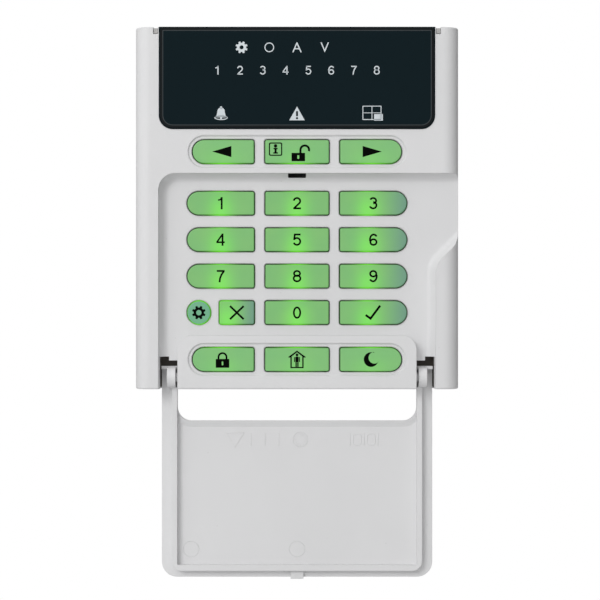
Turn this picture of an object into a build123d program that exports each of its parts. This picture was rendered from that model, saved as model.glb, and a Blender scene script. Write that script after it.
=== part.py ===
from build123d import *
from collections import namedtuple
import os

# Alarm keypad panel: a wall-mounted box with a smoked indicator window, nineteen backlit keys and a
# fold-down flap over the number keys. Millimetres. +Z is up, the wall is the plane Y = 0, and the
# face of the panel looks along -Y. The origin is the middle of the back face. The flap is modelled
# hanging fully open.
#
# "Depth" means the distance behind the flat front face, so depth 0 is the face and depth panel_d
# is the wall.

# ---- driving dimensions ------------------------------------------------------------------------
panel_w = 115.0  # whole panel, across
panel_h = 128.5  # whole panel, top to bottom
panel_d = 29.0  # whole panel, face to wall
cover_d = 18.0  # front cover, from the face to the seam
wall = 2.0  # moulded wall of the front cover
side_round = 5.2  # rounding of the long sides into the face
edge_round = 0.6  # small rounding of the top and bottom outlines

recess_w = 98.4  # flap recess, across
recess_drop = 51.85  # upper edge of the recess, below the panel's top
recess_d = 4.6  # depth of the recess floor
recess_rim = 1.9  # straight part of the recess wall, above its sloping part
recess_run = 2.0  # how far the sloping part comes in over the rest of the depth
recess_round = 6.0  # upper left corner of the recess
floor_round = 2.2  # where the sloping part meets the floor
scoop_drop = 32.4  # the finger scoop's diagonal meets the right rail this far below the recess's top
scoop_round = 8.0
island_w = 84.8  # raised island round the lowest row of keys
island_rise = 19.05  # top of the island, above the panel's bottom
island_round = 5.0

lens_w = 97.8  # smoked window
lens_h = 36.2
lens_t = 2.2
lens_proud = 0.55  # stands this far above the face
lens_round = 4.8  # its lower corners
lens_gap = 0.1
tape_t = 0.15  # adhesive tape under its rim
tape_w = 2.0
film_t = 0.12  # printed legend film behind it
frame_t = 1.6  # ledge that carries the window

key_h = 8.8  # key opening, top to bottom
key_mid_w = 23.2  # key opening in the middle column
key_long_w = 24.4  # outer key openings in the recess
key_short_w = 22.3  # outer key openings in the top and bottom rows
key_split_w = 12.9  # cancel key, which shares its place with the round set-up key
key_between = 3.4  # between two openings
key_corner = 0.9
key_gap = 0.3  # all round a key in its opening
key_proud = 0.9  # above the surface round it
key_edge = 0.45
key_bevel = 0.25  # bevelled rim of an opening
key_skin = 1.5  # thickness of a key's top
key_side = 1.3  # thickness of its sides
flange_w = 1.2  # how far a key's foot spreads behind the cover
flange_t = 0.8
flange_gap = 0.2
post_r = 1.5  # plunger under each key
collar_t = 1.0  # guide wall round the keys of the raised rows
row_top_drop = 44.25  # middle of the top row, below the panel's top
row_first_drop = 10.5  # middle of the row 1 2 3, below the recess's top
row_pitch = 13.0
row_low_rise = 10.55  # middle of the bottom row, above the panel's bottom
dish_margin = 1.5  # shallow dish round the keys of a raised row
dish_d = 0.5

hinge_d = 5.2  # depth of the flap's axis
hinge_rise = 4.15  # height of that axis, above the panel's bottom
pin_r = 1.6
pin_clear = 0.05  # running clearance of the pins in the flap's eyes
pin_len = 3.5
eye_r = 3.6
eye_t = 3.0
eye_inset = 0.9  # from the island's side to the eye
notch_w = 6.55  # hinge notch beside the island, across
notch_reach = 7.3  # from the axis up to the notch's top
notch_step = 1.4  # the inner half of the notch's top hangs this much lower
stop_d = 10.65  # depth of the wall that stops the open flap

flap_side_gap = 0.7  # flap to recess, each side
flap_end_gap = 0.7  # flap to the upper edge of the recess
flap_island_gap = 0.45
flap_mouth_gap = 0.9  # inner edge of the flap to the top of the island
flap_round = 0.5  # edges of its outer face
mouth_lip_w = 2.2  # soft slope that rises to the mouth
mouth_lip_t = 0.8  # its height, low enough to swing past the island's corner
flap_skin = 1.8
flap_floor_gap = 0.2  # ribs of the closed flap to the recess floor
rib_w = 1.9  # side ribs of the flap
end_rib_w = 2.1
end_rib_inset = 2.4
rib_corner = 0.6  # where the ribs meet, inside
lip_t = 1.2  # end wall of each arm
latch_w = 4.6
latch_reach = 0.6  # how far the latch tongue stands past the flap's end
latch_t = 1.1
latch_clear = 0.13
slot_w = 6.4
slot_drop = 1.45  # how far the slot runs below the recess's upper edge
slot_rise = 1.1  # and above it, behind the face
slot_corner = 0.4

board_d = 10.4  # depth of the circuit board's front
board_t = 1.6
board_side_gap = 2.0  # board to the cover's side walls
board_top_gap = 1.75
board_bottom_gap = 2.75
board_post_r = 2.5
board_post_in = 7.0  # upper posts, in from the panel's side
board_post_drop = 7.25  # and down from its top
board_post_side = 3.0  # lower posts, in from the recess's side
board_post_rise = 22.75  # and up from the panel's bottom
mat_t = 1.0
mat_gap = 0.6  # mat to the hinge chambers
dome_r = 2.4
dome_top_r = 1.7
dome_gap = 0.05
pad_t = 0.6  # wall of a rubber dome

icon_row_drop = 7.35  # the three rows of indicators, below the panel's top
digit_row_drop = 15.45
symbol_row_drop = 30.85
digit_pitch = 8.07
icon_pitch = 9.82
symbol_pitch = 26.9
well_w = 6.4
well_h = 5.2
light_box_w = 70.0
light_box_h = 30.0

case_inset = 0.4  # the rear case is this much smaller all round, as a shadow line
case_wall = 3.0
case_back = 2.2
case_lip_h = 2.0
case_lip_gap = 0.2
hook_w = 1.5  # prongs that hang the cover on the rear case
hook_gap = 0.1
hook_end_gap = 0.2
prong_d = 0.4  # depth of a prong's tip
hook_side = 1.25  # from the window's side to the middle of a prong
hook_h = 2.2
wall_hole_r = 2.25
corner_holes_w = 84.0
corner_holes_h = 90.0
box_holes_w = 60.3  # spacing of a single flush box
cable_w = 36.0
cable_h = 18.0
cable_rise = 40.25  # middle of the cable opening, above the panel's bottom

case_screw_r = 1.25
case_screw_d = 15.3  # depth of its axis
case_screw_len = 7.4
board_screw_r = 1.05
board_screw_bite = 3.2
screw_clear = 0.05
screw_head_r = 2.3
pad = 2.0  # extra thickness of the bottom wall under the case screw
pad_w = 9.2
head_sunk = 0.4  # the head sits this far inside the bottom wall
screw_head_t = 1.6
cross_w, cross_l, cross_d = 0.5, 2.4, 0.9  # cross recess in a screw's head

# ---- places worked out from them ---------------------------------------------------------------
face_y = -panel_d
half_w = panel_w / 2
half_h = panel_h / 2
below = half_h + 10  # well past the bottom, for cuts that run out through it
inner_d = recess_d + wall  # depth of the inner side of the recess floor
flange_d = inner_d + flange_gap
foot_d = flange_d + flange_t  # depth of a key's underside
mat_d = board_d - mat_t
back_d = board_d + board_t  # depth of the circuit board's back
seat_d = lens_t - lens_proud + tape_t
frame_d = seat_d + frame_t
outer_x = key_mid_w / 2 + key_between  # inner side of the outer columns
lens_low = half_h - lens_h
recess_top = half_h - recess_drop
scoop_z = recess_top - scoop_drop
island_top = island_rise - half_h
hinge_z = hinge_rise - half_h
notch_top = hinge_z + notch_reach
hook_x = lens_w / 2 + hook_side
cable_z = cable_rise - half_h
row_top_z = half_h - row_top_drop
row_first_z = recess_top - row_first_drop
row_low_z = row_low_rise - half_h
low_row = row_first_z - 3 * row_pitch
icon_row_z = half_h - icon_row_drop
digit_row_z = half_h - digit_row_drop
symbol_row_z = half_h - symbol_row_drop
slot_near = recess_rim - 0.05  # depth where the latch slot starts
hinge_line = Axis((0, -panel_d + hinge_d, hinge_z), (1, 0, 0))


def at_depth(depth):
    """Sketch plane at a depth behind the face: x to the right, y up, growing towards the viewer."""
    return Plane.XZ.offset(panel_d - depth)


def from_bottom(height):
    """Sketch plane level with a height: x to the right, y towards the wall."""
    return Plane.XY.offset(height)


def from_side(distance):
    """Sketch plane square to X: x towards the wall, y up, growing to the right."""
    return Plane.YZ.offset(distance)


os.makedirs("parts", exist_ok=True)

# ---- key layout --------------------------------------------------------------------------------
Key = namedtuple("Key", "name end x z width raised")


def key_row(names, z, width, raised):
    """Three keys in a row: the outer two have one round end each."""
    left, middle, right = names
    x = outer_x + width / 2
    return [
        Key(left, "left", -x, z, width, raised),
        Key(middle, "square", 0, z, key_mid_w, raised),
        Key(right, "right", x, z, width, raised),
    ]


keys = key_row(["key_left", "key_unlock", "key_right"], row_top_z, key_short_w, True)
for row in range(3):
    digits = [f"key_{3 * row + column}" for column in (1, 2, 3)]
    keys += key_row(digits, row_first_z - row * row_pitch, key_long_w, False)
setup_x = -outer_x - key_long_w + key_h / 2
cancel_x = -outer_x - key_split_w / 2
keys += [
    Key("key_setup", "round", setup_x, low_row, key_h, False),
    Key("key_cancel", "square", cancel_x, low_row, key_split_w, False),
]
keys += key_row(["key_cancel", "key_0", "key_confirm"], low_row, key_long_w, False)[1:]
keys += key_row(["key_lock", "key_home", "key_night"], row_low_z, key_short_w, True)


def key_outline(key, grow):
    """A key's outline about its own middle, grown past its opening, or shrunk by a negative amount."""
    width = key.width + 2 * grow
    height = key_h + 2 * grow
    corner = max(key_corner + grow, 0.3)
    half = height / 2
    with BuildSketch() as outline:
        if key.end == "round":
            Circle(half)
        elif key.end == "square":
            RectangleRounded(width, height, corner)
        else:
            side = -1 if key.end == "left" else 1
            with Locations((side * (width / 2 - half), 0)):
                Circle(half)
            with Locations((-side * half / 2, 0)):
                Rectangle(width - half, height)
            square_end = outline.vertices().group_by(Axis.X)[-1 if side < 0 else 0]
            fillet(square_end, corner)
    return outline.sketch


def outlines(grow, chosen=keys):
    """Outlines of the chosen keys, each in its place on a sketch."""
    return [Pos(key.x, key.z) * key_outline(key, grow) for key in chosen]


raised_keys = [key for key in keys if key.raised]
sunk_keys = [key for key in keys if not key.raised]
openings = outlines(0)
raised_rims = outlines(key_bevel, raised_keys)
sunk_rims = outlines(key_bevel, sunk_keys)
collars = outlines(collar_t, raised_keys)

# ---- the flap recess, as a tool ----------------------------------------------------------------


def recess_outline(grow):
    """Outline of the recess at the face. It runs out through the bottom, and at the finger scoop
    through the right side."""
    right = recess_w / 2 + grow
    far = right + 20
    top = recess_top + grow
    low = scoop_z - grow
    with BuildSketch() as outline:
        with BuildLine():
            Polyline(
                (-right, -below),
                (-right, top),
                (far, top),
                (far, low + far - right),
                (right, low),
                (right, -below),
                close=True,
            )
        make_face()
        upper_left = outline.vertices().filter_by_position(Axis.Y, top - 1, top + 1).sort_by(Axis.X)[0]
        fillet(upper_left, recess_round + grow)
        diagonal = outline.vertices().filter_by_position(Axis.Y, low - 0.01, low + 0.01)
        fillet(diagonal, scoop_round)
    return outline.sketch


def island_outline(inset):
    """Outline of the raised island, shrunk by an inset. It runs out through the bottom."""
    top = island_top - inset
    with BuildSketch() as outline:
        with Locations((0, (top - below) / 2)):
            Rectangle(island_w - 2 * inset, top + below)
        fillet(outline.vertices().group_by(Axis.Y)[-1], island_round - inset)
    return outline.sketch


recess_face = recess_outline(0)
recess_backing = recess_outline(wall)
island_face = island_outline(0)
island_core = island_outline(wall)

with BuildPart() as recess:
    with BuildSketch(at_depth(recess_rim)):
        add(recess_face)
    extrude(amount=recess_rim + 1)
    with BuildSketch(at_depth(recess_rim)):
        add(recess_face)
    slope = recess_d - recess_rim
    extrude(amount=-slope, taper=Vector(slope, recess_run, 0).get_angle(Vector(1, 0, 0)))
    floor_edges = recess.faces().sort_by(Axis.Y)[-1].edges()
    fillet([e for e in floor_edges if e.center().Z > -half_h], floor_round)
    with BuildSketch(at_depth(recess_d)):
        add(island_face)
    extrude(amount=recess_d + 1, mode=Mode.SUBTRACT)

with BuildPart() as cavity:
    with BuildSketch(from_bottom(-half_h + wall)) as section:
        with Locations((0, face_y + (wall + cover_d) / 2)):
            Rectangle(panel_w - 2 * wall, cover_d - wall)
        fillet(section.vertices().group_by(Axis.Y)[0], side_round - wall)
    extrude(amount=panel_h - 2 * wall)
    with BuildSketch(at_depth(inner_d)):
        add(recess_backing)
        add(island_core, mode=Mode.SUBTRACT)
    extrude(amount=inner_d, mode=Mode.SUBTRACT)

# ---- front cover -------------------------------------------------------------------------------
notch_x = island_w / 2 + notch_w / 2
post_high = (half_w - board_post_in, half_h - board_post_drop)
post_low = (recess_w / 2 - board_post_side, board_post_rise - half_h)
board_post_places = [(side * x, z) for x, z in (post_high, post_low) for side in (-1, 1)]


def window_outline(inset, top):
    """Outline of the window, shrunk by an inset at its sides and bottom, up to a given height."""
    low = lens_low + inset
    with BuildSketch() as outline:
        with Locations((0, (low + top) / 2)):
            Rectangle(lens_w - 2 * inset, top - low)
        fillet(outline.vertices().group_by(Axis.Y)[0], lens_round - inset)
    return outline.sketch


ledge = tape_w + 0.4
window_seat = window_outline(-lens_gap, half_h + 1)
window_hole = window_outline(ledge, half_h - ledge - 0.8)
window_frame = window_outline(-frame_t, half_h - wall / 2)

with BuildPart() as front_cover:
    with BuildSketch(from_bottom(-half_h)) as section:
        with Locations((0, face_y + cover_d / 2)):
            Rectangle(panel_w, cover_d)
        fillet(section.vertices().group_by(Axis.Y)[0], side_round)
    extrude(amount=panel_h)
    ends = front_cover.faces().filter_by(Axis.Z)
    seam = face_y + cover_d
    outline_edges = [e for e in ends.edges() if e.center().Y < seam - 0.01]
    fillet(outline_edges, edge_round)
    add(cavity.part, mode=Mode.SUBTRACT)

    # ledge that carries the window, and guide walls round the raised keys
    with BuildSketch(at_depth(frame_d)):
        add(window_frame)
    extrude(amount=frame_d - wall / 2)
    with BuildSketch(at_depth(inner_d)):
        add(collars)
    extrude(amount=inner_d - wall / 2)

    # hinge chambers beside the island, with the wall that stops the open flap
    with BuildSketch(at_depth(stop_d + wall)):
        for side in (-1, 1):
            with Locations((side * notch_x, (notch_top + wall - half_h) / 2)):
                Rectangle(notch_w + 2 * wall, notch_top + wall + half_h)
    extrude(amount=stop_d + wall - recess_d - 0.5)

    add(recess.part, mode=Mode.SUBTRACT)
    with BuildSketch(at_depth(stop_d)):
        for side in (-1, 1):
            with Locations((side * notch_x, (notch_top - below) / 2)):
                Rectangle(notch_w, notch_top + below)
    extrude(amount=stop_d + 1, mode=Mode.SUBTRACT)
    step_x = island_w / 2 + notch_w / 4
    with BuildSketch(at_depth(inner_d)):
        for side in (-1, 1):
            with Locations((side * step_x, notch_top - notch_step / 2)):
                Rectangle(notch_w / 2, notch_step)
    extrude(amount=wall)
    for side in (-1, 1):
        with BuildSketch(from_side(side * (island_w / 2 - wall / 2))):
            with Locations((face_y + hinge_d, hinge_z)):
                Circle(pin_r)
        extrude(amount=side * (pin_len + wall / 2))

    # posts for the circuit board: the lower two stand on the recess floor
    for places, reach in ((board_post_places[:2], wall / 2), (board_post_places[2:], recess_d + wall / 2)):
        with BuildSketch(at_depth(board_d)):
            with Locations(*places):
                Circle(board_post_r)
        extrude(amount=board_d - reach)

    # window seat and opening
    with BuildSketch(at_depth(seat_d)):
        add(window_seat)
    extrude(amount=seat_d + 1, mode=Mode.SUBTRACT)
    with BuildSketch(at_depth(frame_d + 1)):
        add(window_hole)
    extrude(amount=frame_d + 2, mode=Mode.SUBTRACT)

    # dishes round the raised rows, then the key openings with their bevelled rims
    dish_w = 2 * (outer_x + key_short_w + dish_margin)
    with BuildSketch(at_depth(0)):
        with Locations((0, row_top_z), (0, row_low_z)):
            SlotOverall(dish_w, key_h + 2 * dish_margin)
    extrude(amount=-dish_d, taper=45, mode=Mode.SUBTRACT)
    for depth, rims in ((dish_d, raised_rims), (recess_d, sunk_rims)):
        with BuildSketch(at_depth(depth)):
            add(rims)
        extrude(amount=-key_bevel, taper=45, mode=Mode.SUBTRACT)
    with BuildSketch(at_depth(inner_d + 0.5)):
        add(openings)
    extrude(amount=inner_d + 1.5, mode=Mode.SUBTRACT)

    # slot that takes the flap's latch tongue
    with BuildSketch(at_depth(inner_d + 0.5)):
        with Locations((0, recess_top + (slot_rise - slot_drop) / 2)):
            RectangleRounded(slot_w, slot_rise + slot_drop, slot_corner)
    extrude(amount=inner_d + 0.5 - slot_near, mode=Mode.SUBTRACT)

    # slots in the top wall for the rear case's prongs
    with BuildSketch(at_depth(cover_d + 1)):
        with Locations((-hook_x, half_h), (hook_x, half_h)):
            Rectangle(hook_w + 2 * hook_gap, 2 * (hook_h + hook_end_gap + hook_gap))
    extrude(amount=cover_d + 2, mode=Mode.SUBTRACT)

    # thicker bottom wall with the counterbored hole of the case screw, and the board screws' holes
    with BuildSketch(at_depth(cover_d)):
        with Locations((0, -half_h + (wall + pad) / 2)):
            Rectangle(pad_w, wall + pad)
    extrude(amount=2 * (cover_d - case_screw_d))
    with BuildSketch(from_bottom(-half_h)):
        with Locations((0, face_y + case_screw_d)):
            Circle(case_screw_r + 2 * screw_clear)
    extrude(amount=wall + pad + 1, mode=Mode.SUBTRACT)
    with BuildSketch(from_bottom(-half_h)):
        with Locations((0, face_y + case_screw_d)):
            Circle(screw_head_r + 2 * screw_clear)
    extrude(amount=screw_head_t + head_sunk, mode=Mode.SUBTRACT)
    with BuildSketch(at_depth(board_d)):
        with Locations(*board_post_places):
            Circle(board_screw_r + screw_clear)
    extrude(amount=board_screw_bite + 0.4, mode=Mode.SUBTRACT)

front_cover.part.label = "front_cover"
export_step(front_cover.part, "parts/front_cover.step")


# ---- smoked window, its tape, the legend film and the lamp wells --------------------------------
lens_back = lens_t - lens_proud
indicator_places = [(icon_pitch * (place - 2), icon_row_z) for place in range(4)]
indicator_places += [(digit_pitch * (place - 3.5), digit_row_z) for place in range(8)]
indicator_places += [(symbol_pitch * (place - 1), symbol_row_z) for place in range(3)]
light_box_z = (icon_row_z + symbol_row_z) / 2 + 0.3

with BuildPart() as display_window:
    with BuildSketch(at_depth(lens_back)):
        add(window_outline(0, half_h))
    extrude(amount=lens_t)
    chamfer(display_window.faces().sort_by(Axis.Y)[0].edges(), 0.4)
display_window.part.label = "display_window"
export_step(display_window.part, "parts/display_window.step")

with BuildPart() as window_tape:
    with BuildSketch(at_depth(seat_d)):
        add(window_outline(0.1, half_h - 0.2))
        add(window_outline(tape_w, half_h - tape_w - 0.2), mode=Mode.SUBTRACT)
    extrude(amount=tape_t)
window_tape.part.label = "window_tape"
export_step(window_tape.part, "parts/window_tape.step")

with BuildPart() as legend_film:
    with BuildSketch(at_depth(lens_back + film_t)):
        add(window_outline(ledge + 0.3, half_h - ledge - 1.1))
    extrude(amount=film_t)
legend_film.part.label = "legend_film"
export_step(legend_film.part, "parts/legend_film.step")

with BuildPart() as indicator_light_box:
    with BuildSketch(at_depth(board_d)):
        with Locations((0, light_box_z)):
            RectangleRounded(light_box_w, light_box_h, 1)
    extrude(amount=board_d - seat_d - 0.3)
    with BuildSketch(at_depth(board_d)):
        with Locations(*indicator_places):
            Rectangle(well_w, well_h)
    extrude(amount=board_d, mode=Mode.SUBTRACT)
indicator_light_box.part.label = "indicator_light_box"
export_step(indicator_light_box.part, "parts/indicator_light_box.step")

led_w, led_h, led_t = 1.6, 0.8, 0.6
led_drop = dome_r + 0.9  # a key's lamp sits this far below its dome


def lamps(places):
    """Identical surface-mounted lamps on the front of the circuit board."""
    with BuildPart() as group:
        with BuildSketch(at_depth(board_d)):
            with Locations(*places):
                Rectangle(led_w, led_h)
        extrude(amount=led_t)
        chamfer(group.faces().filter_by(Axis.Y).group_by(Axis.Y)[0].edges(), 0.12)
    return group.part


key_places = [(key.x, key.z) for key in keys]
lamp_places = [(key.x, key.z - led_drop) for key in keys]
indicator_leds = lamps(indicator_places)
indicator_leds.label = "indicator_leds"
export_step(indicator_leds, "parts/indicator_leds.step")
backlight_leds = lamps(lamp_places)
backlight_leds.label = "backlight_leds"
export_step(backlight_leds, "parts/backlight_leds.step")

# ---- keys and the rubber mat that returns them ---------------------------------------------------
for key in keys:
    top = (dish_d if key.raised else recess_d) - key_proud
    with BuildPart() as button:
        with BuildSketch(at_depth(foot_d)):
            add(outlines(-key_gap, [key]))
        extrude(amount=foot_d - top)
        fillet(button.faces().sort_by(Axis.Y)[0].edges(), key_edge)
        with BuildSketch(at_depth(foot_d)):
            add(outlines(flange_w, [key]))
        extrude(amount=flange_t)
        # hollow cap with a plunger over the dome
        with BuildSketch(at_depth(foot_d)):
            add(outlines(-key_gap - key_side, [key]))
            with Locations((key.x, key.z)):
                Circle(post_r, mode=Mode.SUBTRACT)
        extrude(amount=foot_d - top - key_skin, mode=Mode.SUBTRACT)
    button.part.label = key.name
    export_step(button.part, f"parts/{key.name}.step")

mat_top = row_top_z + key_h / 2 + flange_w
mat_low = row_low_z - key_h / 2 - flange_w + 0.5
dome_h = mat_d - foot_d - dome_gap
dome_taper = Vector(dome_h, dome_r - dome_top_r, 0).get_angle(Vector(1, 0, 0))
mat_w = island_w - 2 * wall - 2 * mat_gap

with BuildPart() as keypad_mat:
    with BuildSketch(at_depth(board_d)):
        with Locations((0, (mat_top + mat_low) / 2)):
            RectangleRounded(mat_w, mat_top - mat_low, 2)
    extrude(amount=mat_t)
    with BuildSketch(at_depth(mat_d)):
        with Locations(*key_places):
            Circle(dome_r)
    extrude(amount=dome_h, taper=dome_taper)
    with BuildSketch(at_depth(board_d)):
        with Locations(*key_places):
            Circle(dome_r - pad_t)
    extrude(amount=mat_t + dome_h - pad_t, taper=dome_taper / 2, mode=Mode.SUBTRACT)
    with BuildSketch(at_depth(board_d)):
        with Locations(*lamp_places):
            Rectangle(led_w + 0.4, led_h + 0.4)
    extrude(amount=mat_t, mode=Mode.SUBTRACT)
keypad_mat.part.label = "keypad_mat"
export_step(keypad_mat.part, "parts/keypad_mat.step")

# ---- flap, built closed and then swung down to where it hangs ------------------------------------
flap_x = recess_w / 2 - flap_side_gap
flap_top = recess_top - flap_end_gap
mouth_x = island_w / 2 + flap_island_gap
mouth_z = island_top + flap_mouth_gap
arm_end = -half_h + 0.25
rib_d = recess_d - flap_floor_gap
rib_x = mouth_x + rib_w
eye_x = island_w / 2 + eye_inset


def mouth_outline(grow):
    """Outline of the flap's mouth, grown at its end and sides. It runs out through the arms' ends."""
    top = mouth_z + grow
    with BuildSketch() as outline:
        with Locations((0, (top - below) / 2)):
            Rectangle(2 * (mouth_x + grow), top + below)
        fillet(outline.vertices().group_by(Axis.Y)[-1], island_round + grow)
    return outline.sketch


with BuildPart() as flap:
    with BuildSketch(at_depth(flap_skin)):
        with Locations((0, (flap_top + arm_end) / 2)):
            Rectangle(2 * flap_x, flap_top - arm_end)
    extrude(amount=flap_skin)
    upright = flap.edges().filter_by(Axis.Y)
    fillet(upright.group_by(Axis.Z)[-1], recess_round - 0.5)
    # slope that rises to the mouth, then the mouth itself
    lip_low = mouth_z - 2 * island_round
    with BuildSketch(at_depth(flap_skin)):
        with Locations((0, (mouth_z + lip_low) / 2)):
            Rectangle(2 * (mouth_x + mouth_lip_w) + 4, mouth_z - lip_low + 2 * mouth_lip_w + 4)
        add(mouth_outline(mouth_lip_w), mode=Mode.INTERSECT)
    lip_taper = Vector(mouth_lip_t, mouth_lip_w - 0.2, 0).get_angle(Vector(1, 0, 0))
    extrude(amount=-mouth_lip_t, taper=lip_taper)
    with BuildSketch(at_depth(rib_d)):
        add(mouth_outline(0))
    extrude(amount=rib_d + 1, mode=Mode.SUBTRACT)
    fillet(flap.faces().sort_by(Axis.Y)[0].edges(), flap_round)
    # raised rib that runs up both arms and across the free end
    with BuildSketch(at_depth(rib_d)) as rib:
        low = hinge_z + eye_r
        high = flap_top - end_rib_inset
        with Locations((0, (low + high) / 2)):
            Rectangle(2 * rib_x, high - low)
        fillet(rib.vertices().group_by(Axis.Y)[-1], recess_round - end_rib_inset)
        inside = high - end_rib_w
        with BuildSketch(mode=Mode.PRIVATE) as opening:
            with Locations((0, (low + inside) / 2)):
                Rectangle(2 * mouth_x, inside - low)
            fillet(opening.vertices().group_by(Axis.Y)[-1], rib_corner)
        add(opening.sketch, mode=Mode.SUBTRACT)
    extrude(amount=rib_d - flap_skin / 2)
    # end wall of each arm, and the hinge eyes
    end_x = (mouth_x + flap_x) / 2
    with BuildSketch(at_depth(rib_d)):
        with Locations((-end_x, arm_end + lip_t / 2), (end_x, arm_end + lip_t / 2)):
            Rectangle(flap_x - mouth_x, lip_t)
    extrude(amount=rib_d - flap_skin / 2)
    for side in (-1, 1):
        with BuildSketch(from_side(side * eye_x)):
            with Locations((face_y + hinge_d, hinge_z)):
                Circle(eye_r)
            with Locations((face_y + (flap_skin / 2 + hinge_d) / 2, hinge_z)):
                Rectangle(hinge_d - flap_skin / 2, 2 * eye_r)
        extrude(amount=side * eye_t)
    # round the arm ends about the hinge line, then bore the eyes
    with BuildSketch(from_side(-panel_w / 2)):
        with Locations((face_y + hinge_d / 2 - 1, hinge_z - hinge_d)):
            Rectangle(hinge_d + 2, 2 * hinge_d)
        with Locations((face_y + hinge_d, hinge_z)):
            Circle(hinge_d, mode=Mode.SUBTRACT)
    extrude(amount=panel_w, mode=Mode.SUBTRACT)
    for side in (-1, 1):
        with BuildSketch(from_side(side * (eye_x - 1))):
            with Locations((face_y + hinge_d, hinge_z)):
                Circle(pin_r + pin_clear)
        extrude(amount=side * (eye_t + 2), mode=Mode.SUBTRACT)
    # latch tongue at the free end
    tongue_near = slot_near + latch_clear
    tongue_top = flap_top + latch_reach
    tongue_low = flap_top - end_rib_inset - end_rib_w / 2
    with BuildSketch(at_depth(tongue_near + latch_t)):
        with Locations((0, (tongue_top + tongue_low) / 2)):
            Rectangle(latch_w, tongue_top - tongue_low)
    extrude(amount=latch_t)
hanging_flap = flap.part.rotate(hinge_line, 180)
hanging_flap.label = "flap"
export_step(hanging_flap, "parts/flap.step")

# ---- circuit board and what is on it -------------------------------------------------------------
chamber_x = island_w / 2 - wall
board_gap = 0.5  # board to the hinge chambers
board_w = panel_w - 2 * wall - 2 * board_side_gap
board_top = half_h - wall - board_top_gap
board_low = wall + board_bottom_gap - half_h
with BuildPart() as circuit_board:
    with BuildSketch(at_depth(back_d)):
        with Locations((0, (board_top + board_low) / 2)):
            Rectangle(board_w, board_top - board_low)
        corner_w = board_w / 2 - chamber_x + board_gap
        corner_h = notch_top + wall + board_gap - board_low
        for side in (-1, 1):
            with Locations((side * (board_w - corner_w) / 2, board_low + corner_h / 2)):
                Rectangle(corner_w, corner_h, mode=Mode.SUBTRACT)
        with Locations(*board_post_places):
            Circle(board_screw_r + screw_clear, mode=Mode.SUBTRACT)
    extrude(amount=board_t)
circuit_board.part.label = "circuit_board"
export_step(circuit_board.part, "parts/circuit_board.step")

chip_place = (-14, 14)
chip_w, chip_t = 10.0, 1.4
leads, lead_pitch, lead_w, lead_len, lead_t = 11, 0.8, 0.35, 1.6, 0.3
lead_out = 1.2
with BuildPart() as microcontroller:
    with BuildSketch(at_depth(back_d)):
        with Locations(chip_place):
            Rectangle(chip_w, chip_w)
    extrude(amount=-chip_t)
    chamfer(microcontroller.faces().sort_by(Axis.Y)[-1].edges(), 0.3)
    with BuildSketch(at_depth(back_d)):
        with Locations(chip_place):
            with GridLocations(lead_pitch, chip_w + lead_out, leads, 2):
                Rectangle(lead_w, lead_len)
            with GridLocations(chip_w + lead_out, lead_pitch, 2, leads):
                Rectangle(lead_len, lead_w)
    extrude(amount=-lead_t)
microcontroller.part.label = "microcontroller"
export_step(microcontroller.part, "parts/microcontroller.step")

chip_part_groups = [(-34, 42), (-8, 42), (8, 30), (34, 12), (-34, -22)]
chip_part_w, chip_part_h, chip_part_t, chip_part_pitch = 1.6, 0.8, 0.7, 4.0
with BuildPart() as board_components:
    with BuildSketch(at_depth(back_d)):
        with Locations(*chip_part_groups):
            with GridLocations(chip_part_pitch, chip_part_pitch, 4, 3):
                Rectangle(chip_part_w, chip_part_h)
    extrude(amount=-chip_part_t)
board_components.part.label = "board_components"
export_step(board_components.part, "parts/board_components.step")

terminal_w, terminal_h, terminal_t, terminal_z = 30.0, 8.0, 10.0, -48.0
ways = 6
way = terminal_w / ways
terminal_screw_r = 1.5
well_clear = 0.05
well_deep = 3.0
screw_sunk = 0.6
screw_low = well_deep - screw_sunk
driver_slot_w, driver_slot_d = 0.5, 0.7
wire_hole_w = 3.2
wire_hole_deep = 4.0
way_places = [(way * (place - (ways - 1) / 2), terminal_z) for place in range(ways)]
with BuildPart() as wiring_terminal:
    with BuildSketch(at_depth(back_d)):
        with Locations((0, terminal_z)):
            Rectangle(terminal_w, terminal_h)
    extrude(amount=-terminal_t)
    with BuildSketch(at_depth(back_d + terminal_t)):
        with Locations(*way_places):
            Circle(terminal_screw_r + well_clear)
    extrude(amount=well_deep, mode=Mode.SUBTRACT)
    with BuildSketch(from_bottom(terminal_z + terminal_h / 2)):
        with Locations(*[(x, face_y + back_d + wire_hole_w) for x, z in way_places]):
            Rectangle(wire_hole_w, wire_hole_w)
    extrude(amount=-wire_hole_deep, mode=Mode.SUBTRACT)
wiring_terminal.part.label = "wiring_terminal"
export_step(wiring_terminal.part, "parts/wiring_terminal.step")

with BuildPart() as terminal_screws:
    with BuildSketch(at_depth(back_d + terminal_t - screw_sunk)):
        with Locations(*way_places):
            Circle(terminal_screw_r)
    extrude(amount=screw_low)
    with BuildSketch(at_depth(back_d + terminal_t - screw_sunk)):
        with Locations(*way_places):
            Rectangle(2.2 * terminal_screw_r, driver_slot_w)
    extrude(amount=driver_slot_d, mode=Mode.SUBTRACT)
terminal_screws.part.label = "terminal_screws"
export_step(terminal_screws.part, "parts/terminal_screws.step")

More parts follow.
